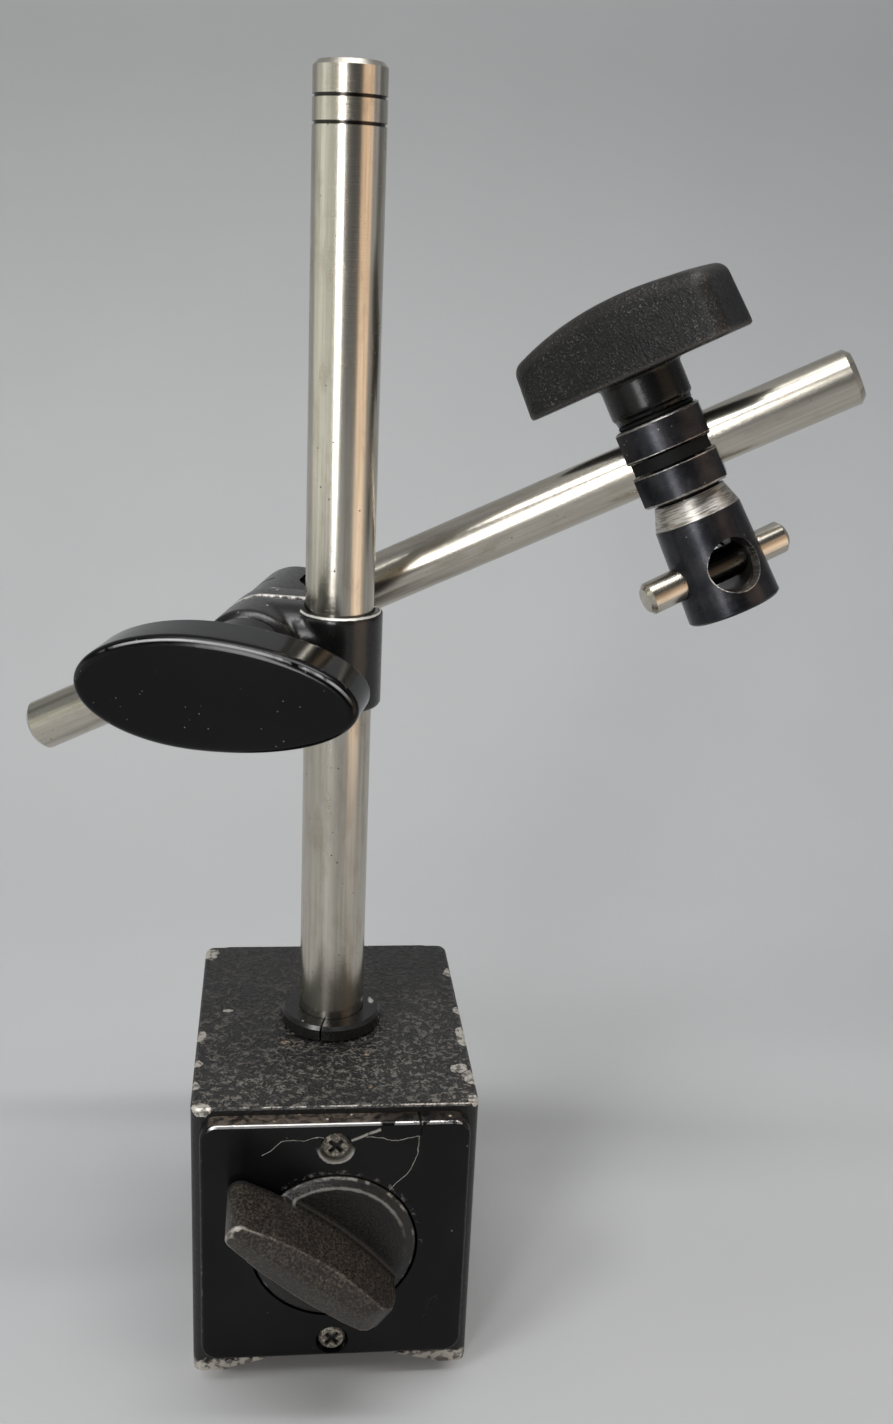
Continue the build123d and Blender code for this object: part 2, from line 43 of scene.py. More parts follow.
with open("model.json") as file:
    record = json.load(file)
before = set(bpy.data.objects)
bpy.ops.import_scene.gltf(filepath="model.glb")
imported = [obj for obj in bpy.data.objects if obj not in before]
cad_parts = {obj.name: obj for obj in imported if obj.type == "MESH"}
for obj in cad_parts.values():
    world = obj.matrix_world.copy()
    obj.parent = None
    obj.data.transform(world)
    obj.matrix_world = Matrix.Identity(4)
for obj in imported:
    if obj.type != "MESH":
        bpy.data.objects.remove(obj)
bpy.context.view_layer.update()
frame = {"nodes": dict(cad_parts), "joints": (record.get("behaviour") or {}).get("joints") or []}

# One millimetre in the scene's unit, and the joints by name
MM = 0.001
JOINTS = {joint["name"]: joint for joint in frame["joints"]}


# Places read from the frame

def axis_of(name):
    """The direction of a joint's axis."""
    return Vector(JOINTS[name]["axis"]).normalized()


def place_of(name):
    """A point on a joint's axis, in metres."""
    return Vector(JOINTS[name]["pos_m"])


def frame_at(origin, along_x, along_z):
    """A matrix that stands at origin, with its X and Z axes near the two directions."""
    z_axis = along_z.normalized()
    y_axis = z_axis.cross(along_x).normalized()
    x_axis = y_axis.cross(z_axis)
    turned = Matrix((x_axis, y_axis, z_axis)).transposed().to_4x4()
    turned.translation = origin
    return turned


ARM_AXIS = axis_of("arm_slide")
BOLT_AXIS = axis_of("arm_tilt")
SPINDLE_AXIS = axis_of("head_swivel")
PIN_AXIS = axis_of("pin_slide")

# The frames that patterns are laid out in: the whole stand's, and each piece's with Z along its own axis
WHOLE_FRAME = Matrix.Identity(4)
BOLT_FRAME = frame_at(place_of("arm_tilt"), Vector((0, 0, 1)).cross(BOLT_AXIS), BOLT_AXIS)
SLEEVE_FRAME = frame_at(place_of("arm_tilt"), ARM_AXIS, -BOLT_AXIS)
ARM_FRAME = frame_at(place_of("end_clamp_roll"), SPINDLE_AXIS, ARM_AXIS)
SPINDLE_FRAME = frame_at(place_of("head_swivel"), ARM_AXIS, SPINDLE_AXIS)
HEAD_FRAME = frame_at(place_of("head_swivel"), PIN_AXIS, SPINDLE_AXIS)
SWITCH_FRAME = frame_at(place_of("switch_turn"), Vector((1, 0, 0)), Vector((0, -1, 0)))

# Places that wear, rims and holes follow, in millimetres in those frames

# Front plate: the upper screw's height, the ring worn round it, and where the top edge kept its paint
SCREW_HEAD_RADIUS = 2.4
UPPER_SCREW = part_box("front_plate_screws")[1].z / MM - SCREW_HEAD_RADIUS
SCREW_RING = 2.8
PAINTED_EDGE = (7.6, 10.0)

# Switch: radii of the disc's flat face, its rim and the ring rubbed round it, how far it stands out, and
# where the lever's tip is
DISC_FLAT = 12.5
DISC_RIM = 14.1
DISC_RING = 15.3
DISC_PROUD = 0.8
LEVER_TIP = (-16.6, 14.9, 47.1)

# Post: the turned rings below its tip and half their width
POST_RINGS = (5.25, 9.25)
POST_RING_HALF = 0.25

# Post clamp: how far the strap's top lies below the leg's, the bore's rim outside the post, the slit's lip
# behind the bolt's middle, and the bores, seat and slit that softening leaves as they are
STRAP_DROP = 0.8
BORE_RIM = 1.2
SLIT_LIP = 3.15
KEPT_BORE = 6.7
KEPT_BOLT_HOLE = 4.6
KEPT_SEAT = 8.2
KEPT_SLIT = 2.05
KEPT_SLIT_HALF = 0.95

# Sleeve's front rim, the painted highlight line behind the oval knob's face, and the foot of the cross knob's
# wing
SLEEVE_RIM = 9.1
KNOB_HIGHLIGHT_LINE = 0.42
WING_FOOT = 15.2

# End clamp: radius and height of the jaws' rims
JAW_OUTER_RIM = (9.2, 6.9)
JAW_INNER_RIM = (9.3, 1.6)

# Head: the worn cone's foot, the stem hole, and half the length of cross pin that is painted dark, as oil and
# as painted shade inside the head
CONE_FOOT = -11.95
STEM_HOLE_HEIGHT = -21.8
STEM_HOLE_RIM = 4.98
PIN_OIL_AND_SHADE = 7.6
PIN_FRAME = frame_at(HEAD_FRAME @ Vector((0, 0, STEM_HOLE_HEIGHT * MM)), SPINDLE_AXIS, PIN_AXIS)

# Softened pieces: how near corners are one, in millimetres, the attribute that holds how worn their edges
# are, and the rounds of smoothing that show it
ONE_CORNER = 0.002
WEAR = "edge_wear"
WEAR_ROUNDS = 30


# Sizes and colours that a user may change

class StandPaint(bpy.types.PropertyGroup):
    """The paint on the block and the plates."""

    coat: bpy.props.FloatVectorProperty(
        name="Paint colour", description="Colour of the clean paint", subtype="COLOR",
        size=3, default=(0.0085, 0.0082, 0.0080), min=0, max=1)
    # The rubbed colour is also the painted highlight on the tops of the top face's grain
    dust: bpy.props.FloatVectorProperty(
        name="Rubbed colour", description="Colour of the rubbed tops of the paint's grain", subtype="COLOR",
        size=3, default=(0.17, 0.156, 0.137), min=0, max=1)
    bare: bpy.props.FloatVectorProperty(
        name="Bare iron colour", description="Colour of the iron where paint is chipped off", subtype="COLOR",
        size=3, default=(0.60, 0.565, 0.51), min=0, max=1)
    grain: bpy.props.FloatProperty(
        name="Paint grain", description="Width of one grain of the block's rough paint, in millimetres",
        default=1.05, min=0.1, max=5)
    crack_width: bpy.props.FloatProperty(
        name="Crack width", description="Width of the cracks in the front plate's paint, in millimetres",
        default=0.16, min=0.02, max=2)


class StandRods(bpy.types.PropertyGroup):
    """The plated post, arm and cross pin."""

    plating: bpy.props.FloatVectorProperty(
        name="Plating colour", description="Colour of the plated steel", subtype="COLOR",
        size=3, default=(0.59, 0.56, 0.49), min=0, max=1)
    tarnish: bpy.props.FloatVectorProperty(
        name="Tarnish colour", description="Colour of the plating where it has dulled", subtype="COLOR",
        size=3, default=(0.38, 0.340, 0.270), min=0, max=1)
    roughness: bpy.props.FloatProperty(
        name="Plating roughness", description="Roughness of the plated steel", default=0.14, min=0, max=1)


class StandStage(bpy.types.PropertyGroup):
    """The floor, the light and the camera."""

    floor: bpy.props.FloatVectorProperty(
        name="Floor colour", description="Colour of the pale floor", subtype="COLOR",
        size=3, default=(0.44, 0.445, 0.45), min=0, max=1)
    backdrop_distance: bpy.props.FloatProperty(
        name="Backdrop distance", description="Distance from the post back to the backdrop",
        subtype="DISTANCE", unit="LENGTH", default=0.45, min=0.2, max=2)
    floor_size: bpy.props.FloatProperty(
        name="Floor size", description="Side of the square floor", default=6.0, min=0.5, subtype="DISTANCE")
    camera_place: bpy.props.FloatVectorProperty(
        name="Camera place", description="Where the camera stands", subtype="TRANSLATION", unit="LENGTH",
        size=3, default=(-0.010543, -0.252551, 0.200280))
    camera_turn: bpy.props.FloatProperty(
        name="Camera turn", description="How far the camera looks to the right of straight ahead",
        subtype="ANGLE", default=0.118906)
    camera_dip: bpy.props.FloatProperty(
        name="Camera dip", description="How far the camera looks down", subtype="ANGLE", default=0.316440)
    camera_roll: bpy.props.FloatProperty(
        name="Camera roll", description="How far the camera leans", subtype="ANGLE", default=0.045047)
    focal_share: bpy.props.FloatProperty(
        name="Focal length share", description="Focal length as a share of the picture's height",
        default=1.04288, min=0.2, max=5)


# Shader maths as Python expressions

class Value:
    """A socket that carries a number or a vector, so that shader maths reads as Python."""

    def __init__(self, shading, socket):
        self.shading = shading
        self.socket = socket

    def __add__(self, other):
        return self.shading.math("ADD", self, other)

    def __radd__(self, other):
        return self.shading.math("ADD", other, self)

    def __sub__(self, other):
        return self.shading.math("SUBTRACT", self, other)

    def __rsub__(self, other):
        return self.shading.math("SUBTRACT", other, self)

    def __mul__(self, other):
        return self.shading.math("MULTIPLY", self, other)

    def __rmul__(self, other):
        return self.shading.math("MULTIPLY", other, self)

    def __truediv__(self, other):
        return self.shading.math("DIVIDE", self, other)

    def __rtruediv__(self, other):
        return self.shading.math("DIVIDE", other, self)

    def __abs__(self):
        return self.shading.math("ABSOLUTE", self)

    def least(self, other):
        return self.shading.math("MINIMUM", self, other)

    def most(self, other):
        return self.shading.math("MAXIMUM", self, other)

    def root(self):
        return self.shading.math("SQRT", self)

    def step(self, low, high):
        """0 below low and 1 above high, softly between, or the other way round where low is over high."""
        rising = low < high
        ends = {"From Min": min(low, high), "From Max": max(low, high),
                "To Min": 0.0 if rising else 1.0, "To Max": 1.0 if rising else 0.0}
        smooth = {"interpolation_type": "SMOOTHSTEP"}
        made = self.shading.node("ShaderNodeMapRange", smooth, {"Value": self, **ends})
        return Value(self.shading, made.outputs[0])


def distance(across, up):
    """How far apart two places are whose numbers differ by across and by up."""
    return (across * across + up * up).root()


def near_line(across, up, points, width):
    """1 on a line through points given in millimetres, falling to 0 at half its width."""
    nearest = None
    for (x0, z0), (x1, z1) in zip(points, points[1:]):
        run, rise = x1 - x0, z1 - z0
        from_x, from_z = across - x0, up - z0
        share = ((from_x * run + from_z * rise) / (run * run + rise * rise)).most(0).least(1)
        gap = distance(from_x - share * run, from_z - share * rise)
        nearest = gap if nearest is None else nearest.least(gap)
    return nearest.step(width / 2, width / 8)


class Shading:
    """The nodes of a material or of the world."""

    def __init__(self, owner):
        owner.use_nodes = True
        self.owner = owner
        self.tree = owner.node_tree
        self.tree.nodes.clear()

    def node(self, kind, settings=None, sockets=None):
        """A node of a kind, with its settings and then the values or links of its sockets."""
        made = self.tree.nodes.new(kind)
        for name, value in (settings or {}).items():
            setattr(made, name, value)
        for name, value in (sockets or {}).items():
            self.feed(made.inputs[name], value)
        return made

    def feed(self, socket, value):
        if isinstance(value, Value):
            self.tree.links.new(value.socket, socket)
        elif socket.type == "RGBA":
            socket.default_value = (*value, 1.0)
        else:
            socket.default_value = value

    def math(self, operation, *values):
        made = self.node("ShaderNodeMath", {"operation": operation}, dict(enumerate(values)))
        return Value(self, made.outputs[0])

    def vector(self, operation, *values, output=0):
        made = self.node("ShaderNodeVectorMath", {"operation": operation}, dict(enumerate(values)))
        return Value(self, made.outputs[output])

    def blend(self, share, first, second):
        """The first colour where share is 0 and the second where it is 1."""
        # A Mix node has sockets for every type: 0, 6 and 7 are the share and the colours, and 2 gives the mix
        made = self.node("ShaderNodeMix", {"data_type": "RGBA"}, {0: share, 6: first, 7: second})
        return Value(self, made.outputs[2])

    def place(self, axes=WHOLE_FRAME):
        """The surface's place in millimetres, in the frame given."""
        source = self.node("ShaderNodeTexCoord")
        turned = self.node("ShaderNodeMapping", {"vector_type": "TEXTURE"}, {
            "Vector": Value(self, source.outputs["Object"]),
            "Location": tuple(axes.translation),
            "Rotation": tuple(axes.to_euler()),
            "Scale": (MM, MM, MM),
        })
        return Value(self, turned.outputs[0])

    def parts(self, vector):
        """The three numbers of a vector."""
        made = self.node("ShaderNodeSeparateXYZ", None, {0: vector})
        return [Value(self, output) for output in made.outputs]

    def stretch(self, vector, x, y, z):
        """A vector with its three numbers multiplied."""
        return self.vector("MULTIPLY", vector, (x, y, z))

    def facing(self, direction):
        """How much the surface faces a direction: 1 straight at it, -1 away."""
        source = self.node("ShaderNodeNewGeometry")
        aim = tuple(Vector(direction).normalized())
        return self.vector("DOT_PRODUCT", Value(self, source.outputs["Normal"]), aim, output=1)

    def noise(self, vector, grain, detail=2.0, rough=0.5, warp=0.0):
        """Cloudy noise from 0 to 1, with blotches about grain millimetres wide."""
        made = self.node("ShaderNodeTexNoise", None, {
            "Vector": vector, "Scale": 1 / grain, "Detail": detail, "Roughness": rough, "Distortion": warp})
        return Value(self, made.outputs[0])

    def cells(self, vector, grain):
        """Distance to the nearest of many scattered points, grain millimetres apart."""
        made = self.node("ShaderNodeTexVoronoi", None, {"Vector": vector, "Scale": 1 / grain})
        return Value(self, made.outputs["Distance"])

    def wear(self):
        """How far a softened piece's edge stands out, from 0 on its faces to 1 on its sharpest edges."""
        source = self.node("ShaderNodeAttribute", {"attribute_name": WEAR})
        return Value(self, source.outputs["Fac"])

    def blots(self, here, blots, ragged, fray):
        """1 inside ragged blots, each given as a centre and its three half sizes in millimetres."""
        nearest = None
        for centre, halves in blots:
            away = self.vector("SUBTRACT", here, centre)
            away = self.vector("MULTIPLY", away, tuple(1 / half for half in halves))
            away = self.vector("LENGTH", away, output=1)
            nearest = away if nearest is None else nearest.least(away)
        return (nearest + (ragged - 0.5) * fray).step(1.0, 0.9)

    def finish(self, color, roughness, metallic, relief=None, depth=0.0, specular=0.5):
        """The surface shader. relief is a height from 0 to 1, and depth its size in millimetres."""
        sockets = {"Base Color": color, "Roughness": roughness, "Metallic": metallic,
                   "Specular IOR Level": specular}
        if relief is not None:
            heights = {"Strength": 1.0, "Distance": depth * MM, "Height": relief}
            bump = self.node("ShaderNodeBump", None, heights)
            sockets["Normal"] = Value(self, bump.outputs[0])
        surface = self.node("ShaderNodeBsdfPrincipled", None, sockets)
        output = self.node("ShaderNodeOutputMaterial")
        self.tree.links.new(surface.outputs[0], output.inputs[0])
        return self.owner


def material(name):
    """An empty material, ready for its nodes."""
    return Shading(bpy.data.materials.new(name))


# Finishes

# Chips on the block's top edges: place across and back, and three half sizes, in millimetres
BLOCK_CHIPS = [
    ((-23.8, 26.8), (1.6, 2.6, 1.2)),
    ((-24.4, -5.9), (1.1, 2.2, 0.9)),
    ((-24.5, -15.4), (0.9, 1.3, 0.8)),
    ((-24.5, -22.6), (0.8, 1.4, 0.8)),
    ((-23.2, -29.4), (2.2, 1.3, 1.6)),
    ((24.4, 17.9), (1.1, 2.0, 1.0)),
    ((24.6, 2.3), (0.9, 1.4, 0.8)),
    ((24.3, -7.2), (1.2, 3.4, 1.0)),
    ((22.6, -18.6), (1.5, 1.6, 0.8)),
    ((24.3, -21.4), (1.4, 2.2, 1.2)),
    ((24.2, -28.6), (1.2, 1.6, 1.4)),
    ((-19.8, 3.4), (1.1, 0.6, 0.6)),
]

# Brown dirt at the collar's foot and on the top, given in the same way
BLOCK_DIRT = [
    ((-8.6, -8.6), (1.2, 0.7, 0.6)),
    ((-7.2, -5.4), (0.5, 0.4, 0.4)),
    ((6.9, 3.4), (0.5, 0.6, 0.4)),
    ((6.2, -24.1), (0.5, 0.4, 0.4)),
    ((6.0, -13.4), (0.6, 0.4, 0.4)),
]

# The lines in the front plate's paint: points across and up the plate, in millimetres
CRACK = {
    "left": ((-12.7, 47.7), (-11.2, 48.6), (-9.3, 50.5), (-7.5, 50.6), (-5.6, 50.4), (-3.4, 51.1),
             (-1.9, 50.9)),
    "right": ((5.2, 50.9), (7.7, 50.7), (9.4, 50.1), (10.6, 50.1), (12.4, 50.5), (14.3, 50.9), (14.1, 47.2),
              (13.2, 44.6), (12.4, 43.2), (10.6, 41.5), (9.3, 39.9)),
    "scratch": ((2.3, 50.1), (5.0, 51.3), (7.4, 52.3)),
    "gap": ((17.6, 57.0), (15.6, 56.0), (14.7, 55.2), (14.4, 53.6), (14.5, 50.9)),
    "dents": ((16.0, 11.6), (17.0, 13.6), (17.6, 16.4), (18.6, 17.2)),
}

# Turned metals: colour, colour where dull, roughness, and metallic and specular level where they matter
BRASS = ((0.62, 0.44, 0.18), (0.36, 0.24, 0.10), 0.34)
HIDDEN_STEEL = ((0.50, 0.49, 0.47), (0.30, 0.28, 0.25), 0.34)
# The eye bolt is painted near black, partly oily steel and partly painted shade in the clamp's slit
BOLT_OIL_AND_SHADE = ((0.035, 0.033, 0.030), (0.012, 0.011, 0.010), 0.36)
WASHER_BLACK = ((0.020, 0.019, 0.018), (0.045, 0.042, 0.038), 0.32, 0.5)
# The spindle and its washers are painted near black and matt: partly black oxide, partly painted shade in the
# gap between the jaws
SPINDLE_BLACK_AND_SHADE = ((0.003, 0.003, 0.0033), (0.006, 0.0058, 0.0055), 0.50, 0.0, 0.16)
# The drawbar is painted near black: partly dark steel, partly painted shade inside the head
DRAWBAR_STEEL_AND_SHADE = ((0.020, 0.019, 0.018), (0.055, 0.050, 0.045), 0.30, 0.6)


def at_height(blots, height):
    """Blots given by their place across and back, set at a height."""
    return [((*place, height), halves) for place, halves in blots]


def rim_at(radius, height):
    """The distance to a rim that runs round Z at a radius, and at a height above and below."""
    def rim(x, y, z):
        return abs(distance(x, y) - radius) + abs(abs(z) - height)
    return rim


def block_paint():
    """Rough paint on the iron block, rubbed grey, chipped along its edges and worn off its feet."""
    settings = bpy.context.scene.stand_paint
    sh = material("block_paint")
    here = sh.place()
    x, y, z = sh.parts(here)
    low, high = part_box("base_pole_left")[0] / MM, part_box("base_pole_right")[1] / MM
    peel = sh.noise(here, settings.grain, detail=2.5, rough=0.55, warp=0.5)
    fine = sh.noise(here, settings.grain / 2.4, detail=2.0, rough=0.6)
    patches = sh.noise(here, 11.0, detail=3.0)
    ragged = sh.noise(here, 2.2, detail=5.0, rough=0.62, warp=0.8)
    on_top = sh.facing((0, 0, 1)).step(0.55, 0.9)
    # Lighter towards the front of the top: partly rubbed paint, partly painted reflection
    front_rub_and_reflection = (y / low.y).step(-1.1, 0.9)
    chips = sh.blots(here, at_height(BLOCK_CHIPS, high.z), ragged, 1.5)
    foot = z + (ragged - 0.5) * 5.2 + abs(x) * 0.03
    worn_foot = foot.step(3.3, 2.7) * (abs(x) - high.x * 0.40).step(0.0, 2.5)
    underside = z.step(0.05, 0.02)
    # The two front edges of the top: a thin bright line, partly rubbed paint and partly painted highlight on
    # the edge's middle, broken in places
    front_edge_wear_and_highlight = sh.facing((0, -1, 1)).step(0.93, 0.98) * (z - high.z + 0.22).step(0.0, 0.08)
    front_edge_wear_and_highlight = front_edge_wear_and_highlight * (ragged + x * 0.006).step(0.40, 0.54)
    # The side edges of the top get a fainter line of the same wear and painted highlight
    side_edge_wear_and_highlight = abs(sh.facing((1, 0, 1))).step(0.93, 0.98) * ragged.step(0.58, 0.66) * 0.4
    bare = chips.most(worn_foot).most(underside)
    line = front_edge_wear_and_highlight.most(side_edge_wear_and_highlight)
    # Painted highlight on the tops of the grain on the top face, partly rubbed paint, most towards the front
    # where hands rub it
    tops = (peel * 0.70 + fine * 0.40).step(0.565, 0.640)
    grain_wear_and_highlight = tops * (patches.step(0.20, 0.65) * 0.6 + 0.4) * (front_rub_and_reflection * 0.80 + 0.20) * on_top
    # Pale patches on the top, stronger towards the front: partly dust, partly painted reflection
    dust = patches.step(0.45, 0.75) * front_rub_and_reflection * on_top
    side_dust = sh.noise(here, 1.1, detail=4.0, rough=0.75).step(0.62, 0.80) * (1 - on_top) * 0.16
    coat = sh.blend(dust * 0.55, tuple(settings.coat), (0.034, 0.030, 0.025))
    # The grain's tops take the rubbed colour, partly as painted highlight; the sides take specks of dust
    coat = sh.blend((grain_wear_and_highlight * 0.90).most(side_dust), coat, tuple(settings.dust))
    pits = sh.cells(here, 5.2).step(0.13, 0.09) * patches.step(0.42, 0.60) * on_top
    coat = sh.blend(pits, coat, (0.004, 0.004, 0.004))
    dirt = sh.blots(here, at_height(BLOCK_DIRT, high.z), ragged, 1.2)
    coat = sh.blend(dirt, coat, sh.blend(fine.step(0.4, 0.6), (0.045, 0.026, 0.014), (0.30, 0.24, 0.17)))
    clean = sh.noise(here, 1.1, detail=4.0).step(0.40, 0.52)
    metal = sh.blend(clean, (0.20, 0.186, 0.168), tuple(settings.bare))
    color = sh.blend(bare, coat, metal)
    # The edge lines are painted pale and metallic: partly rubbed paint, partly painted highlight
    color = sh.blend(line * 0.8, color, (0.42, 0.39, 0.35))
    painted = (peel * 0.75 + fine * 0.25) * (on_top * 0.84 + 0.16) + 0.25
    relief = painted * (1 - bare) + ragged * bare * 0.15
    roughness = 0.40 + grain_wear_and_highlight * 0.10 + dust * 0.12 + bare * 0.02
    return sh.finish(color, roughness, (bare * 0.70).most(line * 0.8), relief, 1.35, specular=0.40)


def plate_paint(name, node, cracked):
    """Smooth paint on an end plate, with a bright top front edge that is partly wear and partly painted
    highlight, and a dirty upper side.
    """
    settings = bpy.context.scene.stand_paint
    sh = material(name)
    here = sh.place()
    x, y, z = sh.parts(here)
    low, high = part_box(node)[0] / MM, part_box(node)[1] / MM
    outward = low.y + high.y
    face = max(abs(low.y), abs(high.y))
    depth = face - abs(y)
    ragged = sh.noise(here, 1.4, detail=4.0, rough=0.65, warp=0.5)
    broad = sh.noise(here, 12.0, detail=2.0)
    wavy = sh.noise(here, 4.0, detail=2.0)
    top_edge = sh.facing((0, outward, abs(outward))).step(0.90, 0.97)
    sideways = abs(sh.facing((1, 0, 0)))
    side_edge = sideways.step(0.45, 0.70) * (1 - sideways.step(0.75, 0.92))
    # The top edge is bare but for one stretch, and patchy to the right of it; its bright line is partly bare
    # metal and partly a painted highlight on the fillet's middle
    left_of, right_of = (x - PAINTED_EDGE[0]).step(0.3, -0.3), (x - PAINTED_EDGE[1]).step(-0.3, 0.3)
    rubbed = left_of.most(right_of * ragged.step(0.40, 0.52))
    top_edge_wear_and_highlight = top_edge * rubbed * (broad * 0.4 + ragged * 0.6 + 0.15).step(0.42, 0.62)
    side_wear = side_edge * ragged.step(0.56, 0.70) * 0.22
    upper = sh.facing((0, 0, 1)).step(0.80, 0.95) * (z - high.z + 3).step(0.0, 0.5)
    grime = upper * (ragged * 0.7 + broad * 0.5).step(0.38, 0.62)
    specks = sh.cells(here, 3.3).step(0.075, 0.045) * broad.step(0.42, 0.60)
    pale_grit = sh.cells(here, 1.9).step(0.16, 0.10) * upper * broad.step(0.50, 0.56)
    coat = sh.blend(broad.step(0.35, 0.7), (0.0022, 0.0022, 0.0027), (0.0050, 0.0048, 0.0052))
    grime = grime * ((x - 7.0).step(3.0, -3.0) * 0.7 + 0.3)
    dirt = sh.blend(ragged.step(0.40, 0.62), (0.020, 0.016, 0.013), (0.095, 0.077, 0.060))
    coat = sh.blend(grime, coat, dirt)
    coat = sh.blend(pale_grit, coat, (0.45, 0.38, 0.30))
    # worn holds the edges' wear and the top edge's painted highlight
    worn = top_edge_wear_and_highlight.most(side_wear)
    coat = sh.blend(worn, coat, (0.46, 0.45, 0.44))
    coat = sh.blend(specks * 0.4, coat, (0.22, 0.21, 0.19))
    relief = ragged * 0.10 + wavy * 0.22 + broad * 0.3
    shine = worn
    if cracked:
        wander = (sh.noise(here, 0.9, detail=3.0) - 0.5) * 0.5
        across, up = x + wander, z + wander
        width = settings.crack_width
        on_face = depth.step(1.9, 0.9)
        light = near_line(across, up, CRACK["left"], width)
        light = light.most(near_line(across, up, CRACK["right"], width)) * on_face
        scratch = near_line(across, up, CRACK["scratch"], width * 4.6) * on_face * ragged.step(0.33, 0.45)
        dents = near_line(across, up, CRACK["dents"], width * 4.6) * ragged.step(0.45, 0.55) * on_face
        dark = near_line(across, up, CRACK["gap"], width * 3.6).most(dents)
        screw_z = z - UPPER_SCREW
        from_ring = abs(distance(x, screw_z) - SCREW_RING)
        crescent = (from_ring + (ragged - 0.5) * 0.9).step(0.60, 0.30) * screw_z.step(0.2, -1.4)
        disc_z = z - SWITCH_FRAME.translation.z / MM
        ring = abs(distance(x, disc_z) - DISC_RING).step(0.5, 0.2)
        ring = ring * ragged.step(0.52, 0.64) * disc_z.step(-2.0, 4.0)
        bright = light.most(scratch).most(crescent)
        coat = sh.blend(bright * (ragged * 0.9 + 0.30).least(0.9), coat, (0.50, 0.475, 0.43))
        coat = sh.blend(ring * 0.5, coat, (0.16, 0.15, 0.14))
        coat = sh.blend(dark, coat, (0.0015, 0.0015, 0.0015))
        relief = relief - light * 0.8 - dark * 1.4 - scratch * 0.5 - crescent * 0.4
        shine = shine.most(scratch).most(crescent * 0.8)
    roughness = 0.20 + broad * 0.10 + grime * 0.4 + shine * 0.04 + side_edge * 0.25
    return sh.finish(coat, roughness, shine * 0.85, relief, 0.14, specular=0.19)


def plated_rod(name, axes, dark_span=None, grooves=()):
    """Ground and plated steel, with fine marks round the rod, faint stains and pits.

    dark_span is how far it is painted dark, as oil and as painted shade, to either side of its frame's
    origin, in millimetres, and grooves are the heights of its turned rings, which are painted dark as painted
    shade.
    """
    settings = bpy.context.scene.stand_rods
    sh = material(name)
    here = sh.place(axes)
    z = sh.parts(here)[2]
    rings = sh.noise(sh.stretch(here, 0.25, 0.25, 7.0), 1.0, detail=3.0, rough=0.6)
    streaks = sh.noise(sh.stretch(here, 1.6, 1.6, 0.04), 1.0, detail=4.0, rough=0.6)
    stains = sh.noise(sh.stretch(here, 1.0, 1.0, 0.4), 4.0, detail=5.0, rough=0.62)
    pits = sh.cells(here, 1.7).step(0.12, 0.05) * sh.noise(here, 5.0).step(0.50, 0.60)
    scratches = sh.noise(sh.stretch(here, 1.4, 1.4, 0.8), 1.0, detail=6.0, rough=0.75, warp=1.6)
    scratches = scratches.step(0.68, 0.74)
    tone = sh.blend(streaks.step(0.30, 0.85) * 0.7, tuple(settings.plating), tuple(settings.tarnish))
    tone = sh.blend(stains.step(0.46, 0.78) * 0.5, tone, (0.30, 0.25, 0.19))
    tone = sh.blend((pits * 0.9).most(scratches * 0.35), tone, (0.075, 0.055, 0.040))
    roughness = settings.roughness + rings * 0.07 + streaks * 0.10 + pits * 0.3 + stains.step(0.5, 0.8) * 0.08
    if dark_span:
        # Painted dark within dark_span: partly oil, partly painted shade inside the head
        oil_and_shade = (abs(z) + (stains - 0.5) * 1.0).step(dark_span + 0.4, dark_span - 0.4)
        tone = sh.blend(oil_and_shade * 0.93, tone, (0.012, 0.011, 0.010))
    # Painted shade: the turned grooves are painted near black
    for height in grooves:
        groove_shade = abs(z - height).step(POST_RING_HALF + 0.12, POST_RING_HALF - 0.05)
        tone = sh.blend(groove_shade * 0.95, tone, (0.010, 0.009, 0.008))
    return sh.finish(tone, roughness, 1.0, rings * 0.5 + scratches * 0.4 - pits, 0.016)


def enamel(name, axes, rims):
    """Gloss black enamel over a casting, worn to bright metal on its rims.

    rims are pairs: a function that turns x, y and z into the distance to a rim, and the rim's width.
    """
    sh = material(name)
    here = sh.place(axes)
    x, y, z = sh.parts(here)
    ragged = sh.noise(here, 1.1, detail=4.0, rough=0.62)
    broad = sh.noise(here, 5.0, detail=2.0)
    worn = sh.cells(here, 2.7).step(0.12, 0.06) * broad.step(0.50, 0.60)
    for rim, width in rims:
        worn = worn.most((rim(x, y, z) + (ragged - 0.5) * width * 1.5).step(width, width * 0.5))
    dust = sh.noise(here, 0.5, detail=3.0, rough=0.7).step(0.66, 0.80) * broad.step(0.45, 0.7) * 0.5
    coat = sh.blend(broad.step(0.3, 0.7), (0.0045, 0.0045, 0.0045), (0.0085, 0.0082, 0.0080))
    coat = sh.blend(dust, coat, (0.06, 0.055, 0.05))
    color = sh.blend(worn, coat, (0.60, 0.58, 0.54))
    roughness = 0.20 + ragged * 0.12 + worn * 0.12
    relief = broad * 0.6 + ragged * 0.14 - worn * 0.8
    return sh.finish(color, roughness, worn * 0.55, relief, 0.07)


